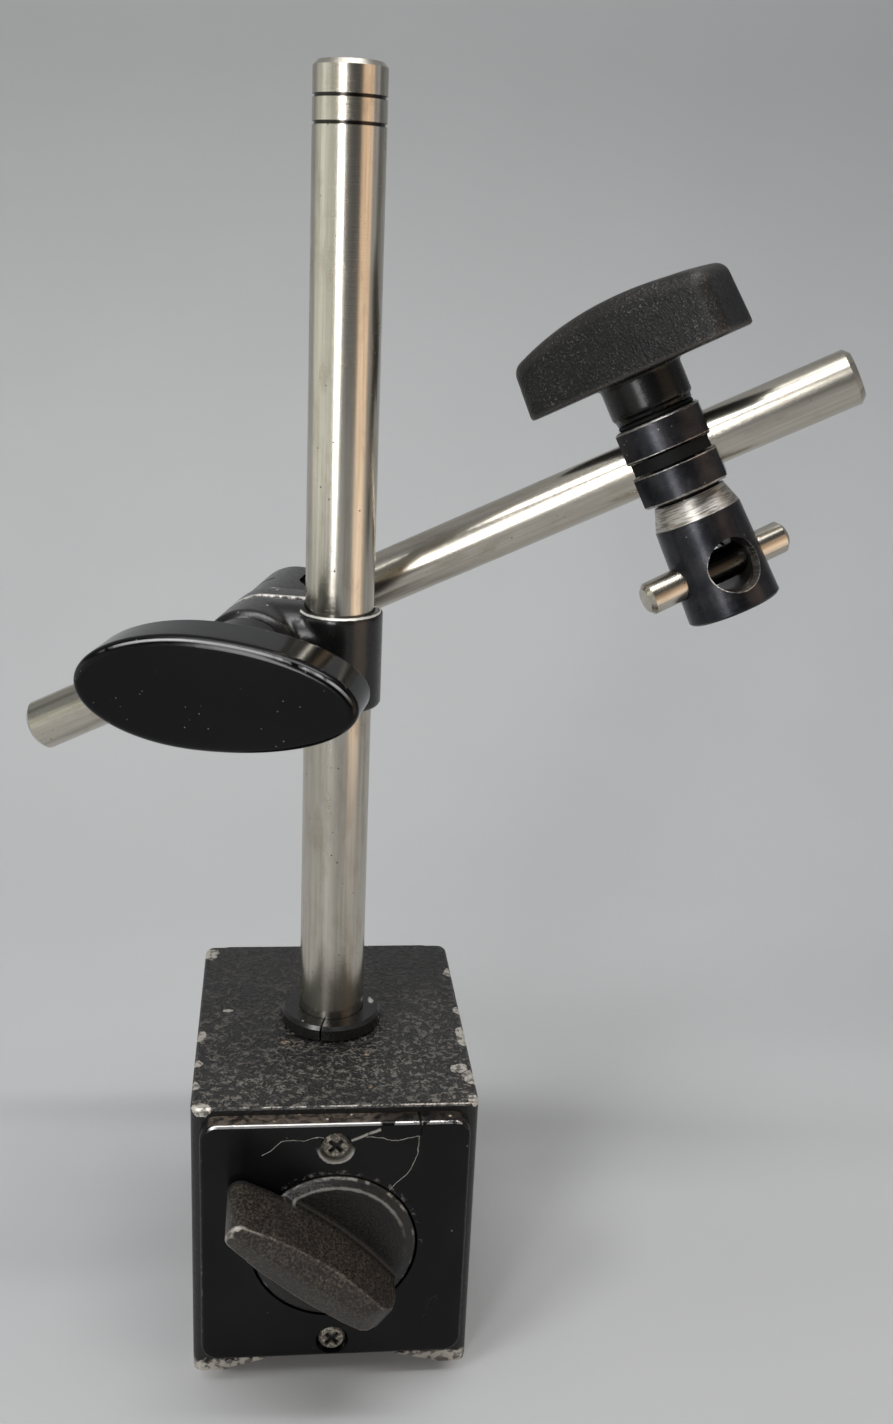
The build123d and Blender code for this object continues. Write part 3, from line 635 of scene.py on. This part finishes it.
def black_oxide(name, axes, rims, hole=None):
    """Blued black oxide on turned steel, rubbed bright on its rims, as in enamel, and bright inside its hole,
    partly as painted highlight.
    """
    sh = material(name)
    here = sh.place(axes)
    x, y, z = sh.parts(here)
    ragged = sh.noise(here, 0.8, detail=4.0, rough=0.65)
    broad = sh.noise(here, 4.0, detail=3.0)
    turned = sh.noise(sh.stretch(here, 0.3, 0.3, 3.2), 1.0, detail=3.0, rough=0.6)
    smears = sh.noise(sh.stretch(here, 1.0, 1.0, 0.35), 1.4, detail=4.0, rough=0.65)
    worn = sh.cells(here, 1.6).step(0.11, 0.05) * broad.step(0.50, 0.58) * 0.7
    for rim, width in rims:
        worn = worn.most((rim(x, y, z) + (ragged - 0.5) * width * 1.6).step(width, width * 0.4))
    if hole:
        worn = worn.most(hole(x, y, z, ragged))
    blued = sh.blend(broad.step(0.35, 0.7), (0.020, 0.021, 0.026), (0.042, 0.042, 0.047))
    rubbed = sh.blend(smears.step(0.52, 0.78) * 0.28, blued, (0.085, 0.081, 0.077))
    bright = sh.blend(turned.step(0.36, 0.62), (0.27, 0.245, 0.215), (0.60, 0.575, 0.54))
    color = sh.blend(worn, rubbed, bright)
    roughness = 0.17 + turned * 0.16 + ragged * 0.08 + smears.step(0.5, 0.8) * 0.10 + worn * 0.08
    relief = turned * (worn * 1.6 + 0.4) + ragged * 0.3
    return sh.finish(color, roughness, 0.80 + worn * 0.15, relief, 0.03)


def gloss_moulding():
    """Hard gloss black moulding of the oval knob, with hair scratches, specks and a painted highlight along
    the upper side of its front edge.
    """
    sh = material("gloss_moulding")
    here = sh.place(BOLT_FRAME)
    x, y, z = sh.parts(here)
    ragged = sh.noise(here, 1.4, detail=4.0)
    broad = sh.noise(here, 9.0, detail=2.0)
    knob_face = (BOLT_FRAME.inverted() @ Vector((0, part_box("clamp_knob")[0].y, 0))).z / MM
    hair = sh.noise(sh.stretch(here, 0.5, 2.4, 1.0), 1.0, detail=6.0, rough=0.75, warp=2.2).step(0.70, 0.745)
    hair = hair * sh.noise(here, 7.0).step(0.48, 0.60)
    specks = sh.cells(here, 1.5).step(0.085, 0.040) * sh.noise(here, 4.0).step(0.46, 0.56)
    marks = (specks * 0.9).most(hair * 0.4)
    # Painted highlight: a pale line round the knob just behind its face, on its upper side only
    edge_highlight = abs(z - knob_face + KNOB_HIGHLIGHT_LINE).step(0.18, 0.06) * (broad * 0.5 + ragged * 0.5).step(0.34, 0.50)
    color = sh.blend(marks * 0.8, (0.0012, 0.0012, 0.0013), (0.26, 0.25, 0.24))
    color = sh.blend(edge_highlight * (y + x * 0.12).step(3.0, 6.5) * 0.8, color, (0.34, 0.34, 0.345))
    roughness = 0.09 + ragged * 0.06 + broad * 0.05 + marks * 0.3
    relief = ragged * 0.08 + broad * 0.9 - marks * 0.4
    return sh.finish(color, roughness, 0.0, relief, 0.05, specular=0.22)


def textured_moulding():
    """Fine spark-textured black moulding of the cross knob, polished on its edges, smooth on its hub."""
    sh = material("textured_moulding")
    here = sh.place(SPINDLE_FRAME)
    z = sh.parts(here)[2]
    stipple = sh.noise(here, 0.42, detail=2.0, rough=0.6)
    pebbles = sh.noise(here, 0.75, detail=2.0)
    broad = sh.noise(here, 8.0, detail=3.0)
    wing = (z - WING_FOOT).step(0.0, 0.6)
    edge = sh.wear().step(0.02, 0.60)
    dust = stipple.step(0.58, 0.68) * broad.step(0.32, 0.66) * wing
    scuff = sh.noise(sh.stretch(here, 0.8, 2.4, 2.0), 1.0, detail=5.0, rough=0.7, warp=1.6).step(0.70, 0.75)
    base = sh.blend(broad.step(0.3, 0.75), (0.0032, 0.0032, 0.0032), (0.0066, 0.0064, 0.0062))
    rubbed = sh.blend(edge * (broad * 0.6 + 0.5) * wing, base, (0.060, 0.054, 0.048))
    color = sh.blend((dust * 0.55).most(scuff * 0.3 * wing), rubbed, (0.16, 0.15, 0.14))
    roughness = 0.20 + wing * 0.12 + stipple * 0.12 - edge * 0.03
    relief = (stipple * 0.6 + pebbles * 0.4) * (wing * 0.94 + 0.06)
    return sh.finish(color, roughness, 0.0, relief, 0.34, specular=0.30)


def switch_moulding():
    """Worn satin moulding of the switch: brown-grey where fingers rub the lever, black on the disc, with
    painted highlights on the lever's tip and on the disc's inner line.
    """
    sh = material("switch_moulding")
    here = sh.place(SWITCH_FRAME)
    x, y, z = sh.parts(here)
    stipple = sh.noise(here, 0.48, detail=3.0, rough=0.7)
    broad = sh.noise(here, 6.0, detail=3.0, rough=0.6)
    ragged = sh.noise(here, 1.6, detail=4.0, rough=0.65)
    disc_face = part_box("front_plate")[0].y / -MM + DISC_PROUD
    on_lever = (z - disc_face).step(0.6, 2.2)
    on_disc = 1 - on_lever
    from_axis = distance(x, y)
    bevel = (from_axis - DISC_FLAT).step(-0.15, 0.35) * on_disc
    rim = abs(from_axis - DISC_RIM).step(0.30, 0.08) * on_disc * (ragged + y * 0.004).step(0.50, 0.70) * 0.7
    # The disc's inner bevel line: partly wear, partly painted highlight, brighter towards the top
    inner_wear_and_highlight = (abs(from_axis - DISC_FLAT) + (ragged - 0.5) * 0.5).step(0.42, 0.05) * on_disc
    inner_wear_and_highlight = inner_wear_and_highlight * (broad + y * 0.035).step(0.45, 0.80)
    edge = sh.wear().step(0.2, 1.0) * on_lever * (ragged * 1.2 + broad * 0.8).step(0.80, 1.25)
    dust = stipple.step(0.42, 0.62) * (broad.step(0.25, 0.65) * 0.5 + 0.5)
    # Painted highlight: the lever's tip and the ridges near it are painted pale
    tip_highlight_area = sh.blots(here, [(LEVER_TIP, (5.5, 4.5, 4.0))], ragged, 1.2)
    tip = tip_highlight_area * sh.wear().step(0.30, 0.80) * 0.55
    tip = tip.most(sh.blots(here, [(LEVER_TIP, (0.8, 0.6, 0.8))], ragged, 2.6) * 0.8)
    pale = stipple.step(0.64, 0.74) * broad.step(0.45, 0.65) * on_lever
    base = sh.blend(on_lever, (0.0045, 0.0043, 0.0042), (0.0120, 0.0105, 0.0090))
    tone = sh.blend(dust * (on_lever * 0.55 + 0.10), base, (0.085, 0.070, 0.054))
    tone = sh.blend(bevel * 0.15, tone, (0.030, 0.029, 0.028))
    tone = sh.blend((rim * 1.2).most(inner_wear_and_highlight * 0.65), tone, (0.24, 0.23, 0.21))
    tone = sh.blend(edge * 0.85, tone, (0.200, 0.176, 0.150))
    tone = sh.blend(stipple.step(0.56, 0.40) * 0.7 * on_lever, tone, (0.014, 0.012, 0.010))
    # Pale specks of dust, and the painted highlight at the tip
    tone = sh.blend((pale * 0.7).most(tip * 0.9), tone, sh.blend(tip, (0.30, 0.27, 0.23), (0.42, 0.40, 0.37)))
    roughness = 0.28 + stipple * 0.16 + dust * 0.12 - edge * 0.05
    return sh.finish(tone, roughness, 0.0, stipple * 0.55 + broad * 0.3, 0.16, specular=0.42)


def turned_metal(name, axes, color, dark, roughness, metal=1.0, specular=0.5):
    """Turned metal with fine rings and light tarnish."""
    sh = material(name)
    here = sh.place(axes)
    rings = sh.noise(sh.stretch(here, 0.4, 0.4, 8.0), 1.0, detail=2.0)
    tarnish = sh.noise(here, 2.6, detail=4.0, rough=0.6)
    tone = sh.blend(tarnish.step(0.40, 0.75) * 0.7, color, dark)
    roughness = roughness + rings * 0.12 + tarnish * 0.08
    relief = rings * 0.6 + tarnish * 0.2
    return sh.finish(tone, roughness, metal, relief, 0.02, specular)


def screw_steel(name, node):
    """Worn steel of the cross-head screws, with dark blotches, and painted shade in the slots and the seat.
    """
    sh = material(name)
    here = sh.place()
    y = sh.parts(here)[1]
    ragged = sh.noise(here, 0.7, detail=4.0, rough=0.65)
    low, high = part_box(node)[0] / MM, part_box(node)[1] / MM
    face = max(abs(low.y), abs(high.y))
    # Painted shade: the slots and the seat, sunk below the head's face, are painted black
    recess_shade = (face - abs(y)).step(0.22, 0.60)
    black = (ragged.step(0.58, 0.48) * 0.8).most(recess_shade)
    color = sh.blend(black, (0.44, 0.40, 0.33), (0.008, 0.0075, 0.007))
    return sh.finish(color, 0.34 + ragged * 0.2, 1 - black * 0.9, ragged, 0.08)


def ferrite():
    """Dull grey ferrite of the hidden magnet."""
    sh = material("ferrite")
    grain = sh.noise(sh.place(), 0.8, detail=4.0)
    color = sh.blend(grain.step(0.3, 0.7), (0.06, 0.06, 0.063), (0.11, 0.11, 0.112))
    return sh.finish(color, 0.6 + grain * 0.15, 0.1, grain, 0.05)


# Making and finishing pieces

def dress(finish, *names):
    """Gives CAD nodes their material."""
    for name in names:
        mesh = frame["nodes"][name].data
        mesh.materials.clear()
        mesh.materials.append(finish)


def places_of(piece):
    """The places of a mesh's vertices, as an array."""
    places = np.empty(len(piece.data.vertices) * 3, np.float32)
    piece.data.vertices.foreach_get("co", places)
    return places.reshape(-1, 3)


def apply_modifier(piece, kind, **settings):
    """Adds a modifier with its settings and applies it at once."""
    modifier = piece.modifiers.new(kind.lower(), kind)
    for name, value in settings.items():
        setattr(modifier, name, value)
    bpy.ops.object.modifier_apply(modifier=modifier.name)


def soften(name, node, body, voxel, rounds, finish, loose=None):
    """Replaces a CAD piece with a copy that has a casting's soft edges, and their wear as an attribute.

    voxel is the width of the new mesh's faces in millimetres, and rounds how often it is smoothed. loose
    picks the vertices that may move, by their places, where bores and seats are to stay as they are.
    """
    source = frame["nodes"][node]
    bpy.ops.object.select_all(action="DESELECT")
    piece = bpy.data.objects.new(name, source.data.copy())
    bpy.context.scene.collection.objects.link(piece)
    piece.select_set(True)
    bpy.context.view_layer.objects.active = piece
    bpy.ops.object.mode_set(mode="EDIT")
    bpy.ops.mesh.select_all(action="SELECT")
    bpy.ops.mesh.remove_doubles(threshold=ONE_CORNER * MM)
    bpy.ops.mesh.normals_make_consistent(inside=False)
    bpy.ops.object.mode_set(mode="OBJECT")
    apply_modifier(piece, "REMESH", mode="VOXEL", voxel_size=voxel * MM, use_smooth_shade=True)
    sharp = places_of(piece)
    group = piece.vertex_groups.new(name="loose")
    moving = range(len(sharp)) if loose is None else np.flatnonzero(loose(sharp)).tolist()
    group.add(list(moving), 1.0, "REPLACE")
    apply_modifier(piece, "SMOOTH", factor=0.5, iterations=rounds, vertex_group=group.name)
    soft = places_of(piece)
    apply_modifier(piece, "SMOOTH", factor=0.5, iterations=WEAR_ROUNDS)
    softer = places_of(piece)
    piece.data.vertices.foreach_set("co", soft.ravel())
    piece.data.update()
    piece.vertex_groups.clear()
    # An edge is worn by as much as that smoothing sinks it
    normals = np.empty(len(soft) * 3, np.float32)
    piece.data.vertices.foreach_get("normal", normals)
    rise = ((sharp - softer) * normals.reshape(-1, 3)).sum(1) / (voxel * MM)
    attribute = piece.data.attributes.new(WEAR, "FLOAT", "POINT")
    attribute.data.foreach_set("value", np.clip(rise, 0, 1).astype(np.float32))
    piece.data.materials.clear()
    piece.data.materials.append(finish)
    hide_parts(node)
    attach(piece, body)


class STAND_OT_base(bpy.types.Operator):
    """Paint the magnetic block, its plates and screws"""

    bl_idname = "stand.base"
    bl_label = "Base"
    bl_options = {"REGISTER", "UNDO"}

    def execute(self, context):
        dress(block_paint(), "base_pole_left", "base_pole_right", "spacer_top", "spacer_bottom")
        dress(plate_paint("front_plate_paint", "front_plate", True), "front_plate")
        dress(plate_paint("rear_plate_paint", "rear_plate", False), "rear_plate")
        dress(screw_steel("front_screw_steel", "front_plate_screws"), "front_plate_screws")
        dress(screw_steel("rear_screw_steel", "rear_plate_screws"), "rear_plate_screws")
        dress(turned_metal("hidden_steel", SWITCH_FRAME, *HIDDEN_STEEL), "stop_pin", "rotor_shoes")
        dress(turned_metal("cap_brass", SWITCH_FRAME, *BRASS), "rotor_front_cap", "rotor_rear_cap")
        dress(ferrite(), "rotor_magnet")
        return {"FINISHED"}


class STAND_OT_switch(bpy.types.Operator):
    """Finish the switch disc and its lever"""

    bl_idname = "stand.switch"
    bl_label = "Switch"
    bl_options = {"REGISTER", "UNDO"}

    def execute(self, context):
        soften("switch_lever", "switch_knob", "switch", 0.28, 5, switch_moulding())
        return {"FINISHED"}


class STAND_OT_post(bpy.types.Operator):
    """Plate the post and blacken its collar"""

    bl_idname = "stand.post"
    bl_label = "Post"
    bl_options = {"REGISTER", "UNDO"}

    def execute(self, context):
        post_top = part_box("post")[1].z / MM
        grooves = [post_top - drop for drop in POST_RINGS]
        dress(plated_rod("post_plating", WHOLE_FRAME, grooves=grooves), "post")
        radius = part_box("collar_ring")[1].x / MM

        def dry_dirt(x, y, z):
            across, back = x - (radius - 1.9), y - 1.0
            return (across * across * 1.6 + back * back * 0.30).root()

        dress(enamel("collar_black", WHOLE_FRAME, [(dry_dirt, 0.75)]), "collar_ring")
        return {"FINISHED"}


class STAND_OT_post_clamp(bpy.types.Operator):
    """Enamel the clamp on the post and the arm's sleeve"""

    bl_idname = "stand.post_clamp"
    bl_label = "Post clamp"
    bl_options = {"REGISTER", "UNDO"}

    def execute(self, context):
        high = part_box("post_clamp_body")[1] / MM
        post_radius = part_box("post")[1].x / MM
        strap_top = high.z - STRAP_DROP
        bolt = BOLT_FRAME.translation / MM

        def bore_rim(x, y, z):
            return abs(distance(x, y) - post_radius - BORE_RIM) + abs(z - strap_top) * 0.8 + y * 0.03

        def slit_lip(x, y, z):
            back = bolt.dot(BOLT_AXIS) - (x * BOLT_AXIS.x + y * BOLT_AXIS.y)
            return abs(back - SLIT_LIP) + (bolt.z + 2.0 - z).most(0.0) * 0.3

        def front_rim(x, y, z):
            return abs(z - SLEEVE_RIM)

        def loose(places):
            from_bolt = places - np.array(BOLT_FRAME.translation)
            along = from_bolt @ np.array(BOLT_AXIS) / MM
            across = np.linalg.norm(from_bolt / MM - along[:, None] * np.array(BOLT_AXIS), axis=1)
            from_post = np.linalg.norm(places[:, :2] / MM, axis=1)
            off_bores = (from_post > KEPT_BORE) & (across > KEPT_BOLT_HOLE)
            return off_bores & (along > -KEPT_SEAT) & (abs(along + KEPT_SLIT) > KEPT_SLIT_HALF)

        casting = enamel("clamp_enamel", WHOLE_FRAME, [(bore_rim, 0.27), (slit_lip, 0.42)])
        soften("clamp_casting", "post_clamp_body", "post_clamp", 0.30, 22, casting, loose)
        dress(enamel("sleeve_enamel", SLEEVE_FRAME, [(front_rim, 0.55)]), "arm_sleeve")
        # The eye bolt's near black is partly painted shade in the slit
        dress(turned_metal("bolt_oil_and_shade", BOLT_FRAME, *BOLT_OIL_AND_SHADE), "eye_bolt")
        dress(turned_metal("washer_black", BOLT_FRAME, *WASHER_BLACK), "clamp_washer")
        return {"FINISHED"}


class STAND_OT_oval_knob(bpy.types.Operator):
    """Finish the oval knob"""

    bl_idname = "stand.oval_knob"
    bl_label = "Oval knob"
    bl_options = {"REGISTER", "UNDO"}

    def execute(self, context):
        dress(gloss_moulding(), "clamp_knob")
        dress(turned_metal("bush_brass", BOLT_FRAME, *BRASS), "clamp_knob_insert")
        return {"FINISHED"}


class STAND_OT_arm(bpy.types.Operator):
    """Plate the arm"""

    bl_idname = "stand.arm"
    bl_label = "Arm"
    bl_options = {"REGISTER", "UNDO"}

    def execute(self, context):
        dress(plated_rod("arm_plating", ARM_FRAME), "arm")
        return {"FINISHED"}


class STAND_OT_end_clamp(bpy.types.Operator):
    """Blacken the jaws at the end of the arm"""

    bl_idname = "stand.end_clamp"
    bl_label = "End clamp"
    bl_options = {"REGISTER", "UNDO"}

    def execute(self, context):
        # Near black spindle and washers, partly as painted shade between the jaws
        black = turned_metal("spindle_black_and_shade", SPINDLE_FRAME, *SPINDLE_BLACK_AND_SHADE)
        dress(black, "spindle", "thrust_washer", "friction_washer")
        rims = [(rim_at(*JAW_OUTER_RIM), 0.45), (rim_at(*JAW_INNER_RIM), 0.22)]
        dress(black_oxide("jaw_oxide", SPINDLE_FRAME, rims), "upper_jaw", "lower_jaw")
        return {"FINISHED"}


class STAND_OT_cross_knob(bpy.types.Operator):
    """Finish the cross knob"""

    bl_idname = "stand.cross_knob"
    bl_label = "Cross knob"
    bl_options = {"REGISTER", "UNDO"}

    def execute(self, context):
        soften("cross_knob", "tee_knob", "top_knob", 0.32, 4, textured_moulding())
        dress(turned_metal("knob_brass", SPINDLE_FRAME, *BRASS), "tee_knob_insert")
        return {"FINISHED"}


class STAND_OT_head(bpy.types.Operator):
    """Finish the head, its drawbar and the cross pin"""

    bl_idname = "stand.head"
    bl_label = "Head"
    bl_options = {"REGISTER", "UNDO"}

    def execute(self, context):
        # Bright inside the stem hole and on its rim: partly bare metal, partly painted highlight, stronger
        # towards the hole's bottom
        def stem_hole_wear_and_highlight(x, y, z, ragged):
            up = z - STEM_HOLE_HEIGHT
            inside = distance(x, up) - STEM_HOLE_RIM + (ragged - 0.5) * 0.25
            return inside.step(0.04, -0.04) * (ragged - up * 0.07).step(0.26, 0.56) * 0.95

        def cone(x, y, z):
            return (z - CONE_FOOT).step(0.12, -0.12) * 3

        dress(black_oxide("head_oxide", HEAD_FRAME, [(cone, 0.8)], stem_hole_wear_and_highlight), "head_sleeve")
        dress(turned_metal("drawbar_steel_and_shade", HEAD_FRAME, *DRAWBAR_STEEL_AND_SHADE), "drawbar")
        dress(plated_rod("pin_plating", PIN_FRAME, PIN_OIL_AND_SHADE), "cross_pin")
        return {"FINISHED"}


# Stage

# The room's colours at eye level, overhead and behind the camera
ROOM = ((0.50, 0.51, 0.53), (0.26, 0.265, 0.275), (0.07, 0.07, 0.072))

# The lamps: name, place, what it faces, width and height, brightness, colour and spread in degrees
WHITE = (1, 1, 1)
MIDDLE = (0.0, 0.0, 0.11)
LAMPS = [
    ("overhead", (0.10, 0.10, 2.6), MIDDLE, (2.4, 1.8), 2.6, WHITE, 180),
    ("tube", (0.0, -0.45, 2.4), MIDDLE, (2.2, 0.12), 22.0, WHITE, 180),
    ("left_card", (-0.60, -0.10, 0.17), (0, 0, 0.17), (1.10, 0.33), 0.36, (0.97, 1.0, 0.90), 130),
    ("key", (-0.55, -0.45, 0.95), MIDDLE, (0.26, 0.26), 15.0, WHITE, 180),
    ("front_strip", (-0.19, -0.40, 0.26), (0, 0, 0.20), (0.085, 0.40), 2.6, WHITE, 80),
    ("warm_right", (0.235, -0.165, 0.155), (0, 0, 0.155), (0.20, 0.30), 0.34, (1.0, 0.72, 0.50), 100),
]

# How near an edge's ends lie to a plane that they are picked by, in metres
NEAR = 0.01


def pale_floor(color):
    """Matt pale board with a hardly visible cloud."""
    sh = material("pale_floor")
    here = sh.place()
    cloud = sh.noise(here, 60.0, detail=3.0)
    tone = sh.blend(cloud.step(0.3, 0.7) * 0.3, color, tuple(shade * 0.94 for shade in color))
    return sh.finish(tone, 0.62 + cloud * 0.08, 0.0, specular=0.3)


def add_light(name, place, aim, size, brightness, color, spread):
    """A rectangular soft light at place, turned towards aim. brightness is what its face shines with."""
    data = bpy.data.lights.new(name, "AREA")
    data.shape = "RECTANGLE"
    data.size, data.size_y = size
    data.energy = brightness * math.pi * size[0] * size[1]
    data.color = color
    data.spread = math.radians(spread)
    light = bpy.data.objects.new(name, data)
    light.location = place
    light.rotation_euler = (Vector(aim) - Vector(place)).to_track_quat("-Z", "Y").to_euler()
    bpy.context.scene.collection.objects.link(light)


def add_world(horizon, zenith, front):
    """A room that is pale at eye level, darker overhead and darkest behind the camera."""
    world = bpy.data.worlds.new("studio")
    sh = Shading(world)
    source = sh.node("ShaderNodeTexCoord")
    depth, height = sh.parts(Value(sh, source.outputs["Generated"]))[1:]
    tone = sh.blend(height.step(0.02, 0.55), horizon, zenith)
    tone = sh.blend(depth.step(0.1, -0.6), tone, front)
    seen = Value(sh, sh.node("ShaderNodeLightPath").outputs["Is Camera Ray"])
    tone = sh.blend(seen, tone, horizon)
    glow = sh.node("ShaderNodeBackground", None, {"Color": tone, "Strength": 1.0})
    output = sh.node("ShaderNodeOutputWorld")
    sh.tree.links.new(glow.outputs[0], output.inputs[0])
    bpy.context.scene.world = world


def add_camera(settings):
    """The camera at the photograph's place and angle."""
    turn, dip, roll = settings.camera_turn, settings.camera_dip, settings.camera_roll
    ahead = Vector((math.sin(turn) * math.cos(dip), math.cos(turn) * math.cos(dip), -math.sin(dip)))
    level = Vector((math.cos(turn), -math.sin(turn), 0))
    rise = level.cross(ahead)
    right = level * math.cos(roll) + rise * math.sin(roll)
    above = rise * math.cos(roll) - level * math.sin(roll)
    data = bpy.data.cameras.new("camera")
    data.sensor_fit = "VERTICAL"
    data.sensor_height = 24.0
    data.lens = data.sensor_height * settings.focal_share
    data.clip_start = 0.01
    data.clip_end = 50.0
    camera = bpy.data.objects.new("camera", data)
    pose = Matrix((right, above, -ahead)).transposed().to_4x4()
    pose.translation = Vector(settings.camera_place)
    camera.matrix_world = pose
    bpy.context.scene.collection.objects.link(camera)
    bpy.context.scene.camera = camera


def pick_edges(piece, wanted):
    """Leaves a piece in edit mode with only those edges selected whose two ends are both wanted."""
    bpy.ops.object.mode_set(mode="EDIT")
    bpy.ops.mesh.select_mode(type="EDGE")
    bpy.ops.mesh.select_all(action="DESELECT")
    bpy.ops.object.mode_set(mode="OBJECT")
    for edge in piece.data.edges:
        edge.select = all(wanted(piece.data.vertices[index].co) for index in edge.vertices)
    bpy.ops.object.mode_set(mode="EDIT")


class STAND_OT_stage(bpy.types.Operator):
    """Add the floor, the lights and the camera"""

    bl_idname = "stand.stage"
    bl_label = "Stage"
    bl_options = {"REGISTER", "UNDO"}

    def execute(self, context):
        settings = context.scene.stand_stage
        bpy.ops.object.select_all(action="DESELECT")
        rear, side = settings.backdrop_distance, settings.floor_size
        bpy.ops.mesh.primitive_plane_add(size=side, location=(0, rear - side / 2, 0))
        floor = context.active_object
        floor.name = "floor"
        bpy.ops.object.transform_apply(location=True, rotation=False, scale=True)
        pick_edges(floor, lambda end: end.y > rear - NEAR)
        bpy.ops.mesh.extrude_edges_move(TRANSFORM_OT_translate={"value": (0, 0, side / 2)})
        pick_edges(floor, lambda end: end.y > rear - NEAR and end.z < NEAR)
        bpy.ops.mesh.bevel(offset=rear * 0.6, segments=16, affect="EDGES")
        bpy.ops.object.mode_set(mode="OBJECT")
        bpy.ops.object.shade_smooth()
        floor.data.materials.append(pale_floor(tuple(settings.floor)))
        add_world(*ROOM)
        for lamp in LAMPS:
            add_light(*lamp)
        add_camera(settings)
        context.scene.view_settings.view_transform = "Standard"
        return {"FINISHED"}


OPERATORS = [
    STAND_OT_base,
    STAND_OT_switch,
    STAND_OT_post,
    STAND_OT_post_clamp,
    STAND_OT_oval_knob,
    STAND_OT_arm,
    STAND_OT_end_clamp,
    STAND_OT_cross_knob,
    STAND_OT_head,
    STAND_OT_stage,
]


class STAND_PT_panel(bpy.types.Panel):
    """Lists the stand's settings and operators in the sidebar."""

    bl_label = "Magnetic stand"
    bl_idname = "STAND_PT_panel"
    bl_space_type = "VIEW_3D"
    bl_region_type = "UI"
    bl_category = "Stand"

    def draw(self, context):
        scene = context.scene
        for group in (scene.stand_paint, scene.stand_rods, scene.stand_stage):
            box = self.layout.box()
            for name in group.__annotations__:
                box.prop(group, name)
        for made in OPERATORS:
            self.layout.operator(made.bl_idname)


GROUPS = {"stand_paint": StandPaint, "stand_rods": StandRods, "stand_stage": StandStage}


def register():
    for name, group in GROUPS.items():
        bpy.utils.register_class(group)
        setattr(bpy.types.Scene, name, bpy.props.PointerProperty(type=group))
    for made in OPERATORS + [STAND_PT_panel]:
        bpy.utils.register_class(made)


def unregister():
    for made in reversed(OPERATORS + [STAND_PT_panel]):
        bpy.utils.unregister_class(made)
    for name, group in GROUPS.items():
        delattr(bpy.types.Scene, name)
        bpy.utils.unregister_class(group)


def main():
    register()
    for made in OPERATORS:
        group, name = made.bl_idname.split(".")
        getattr(getattr(bpy.ops, group), name)()


if __name__ == "__main__":
    main()
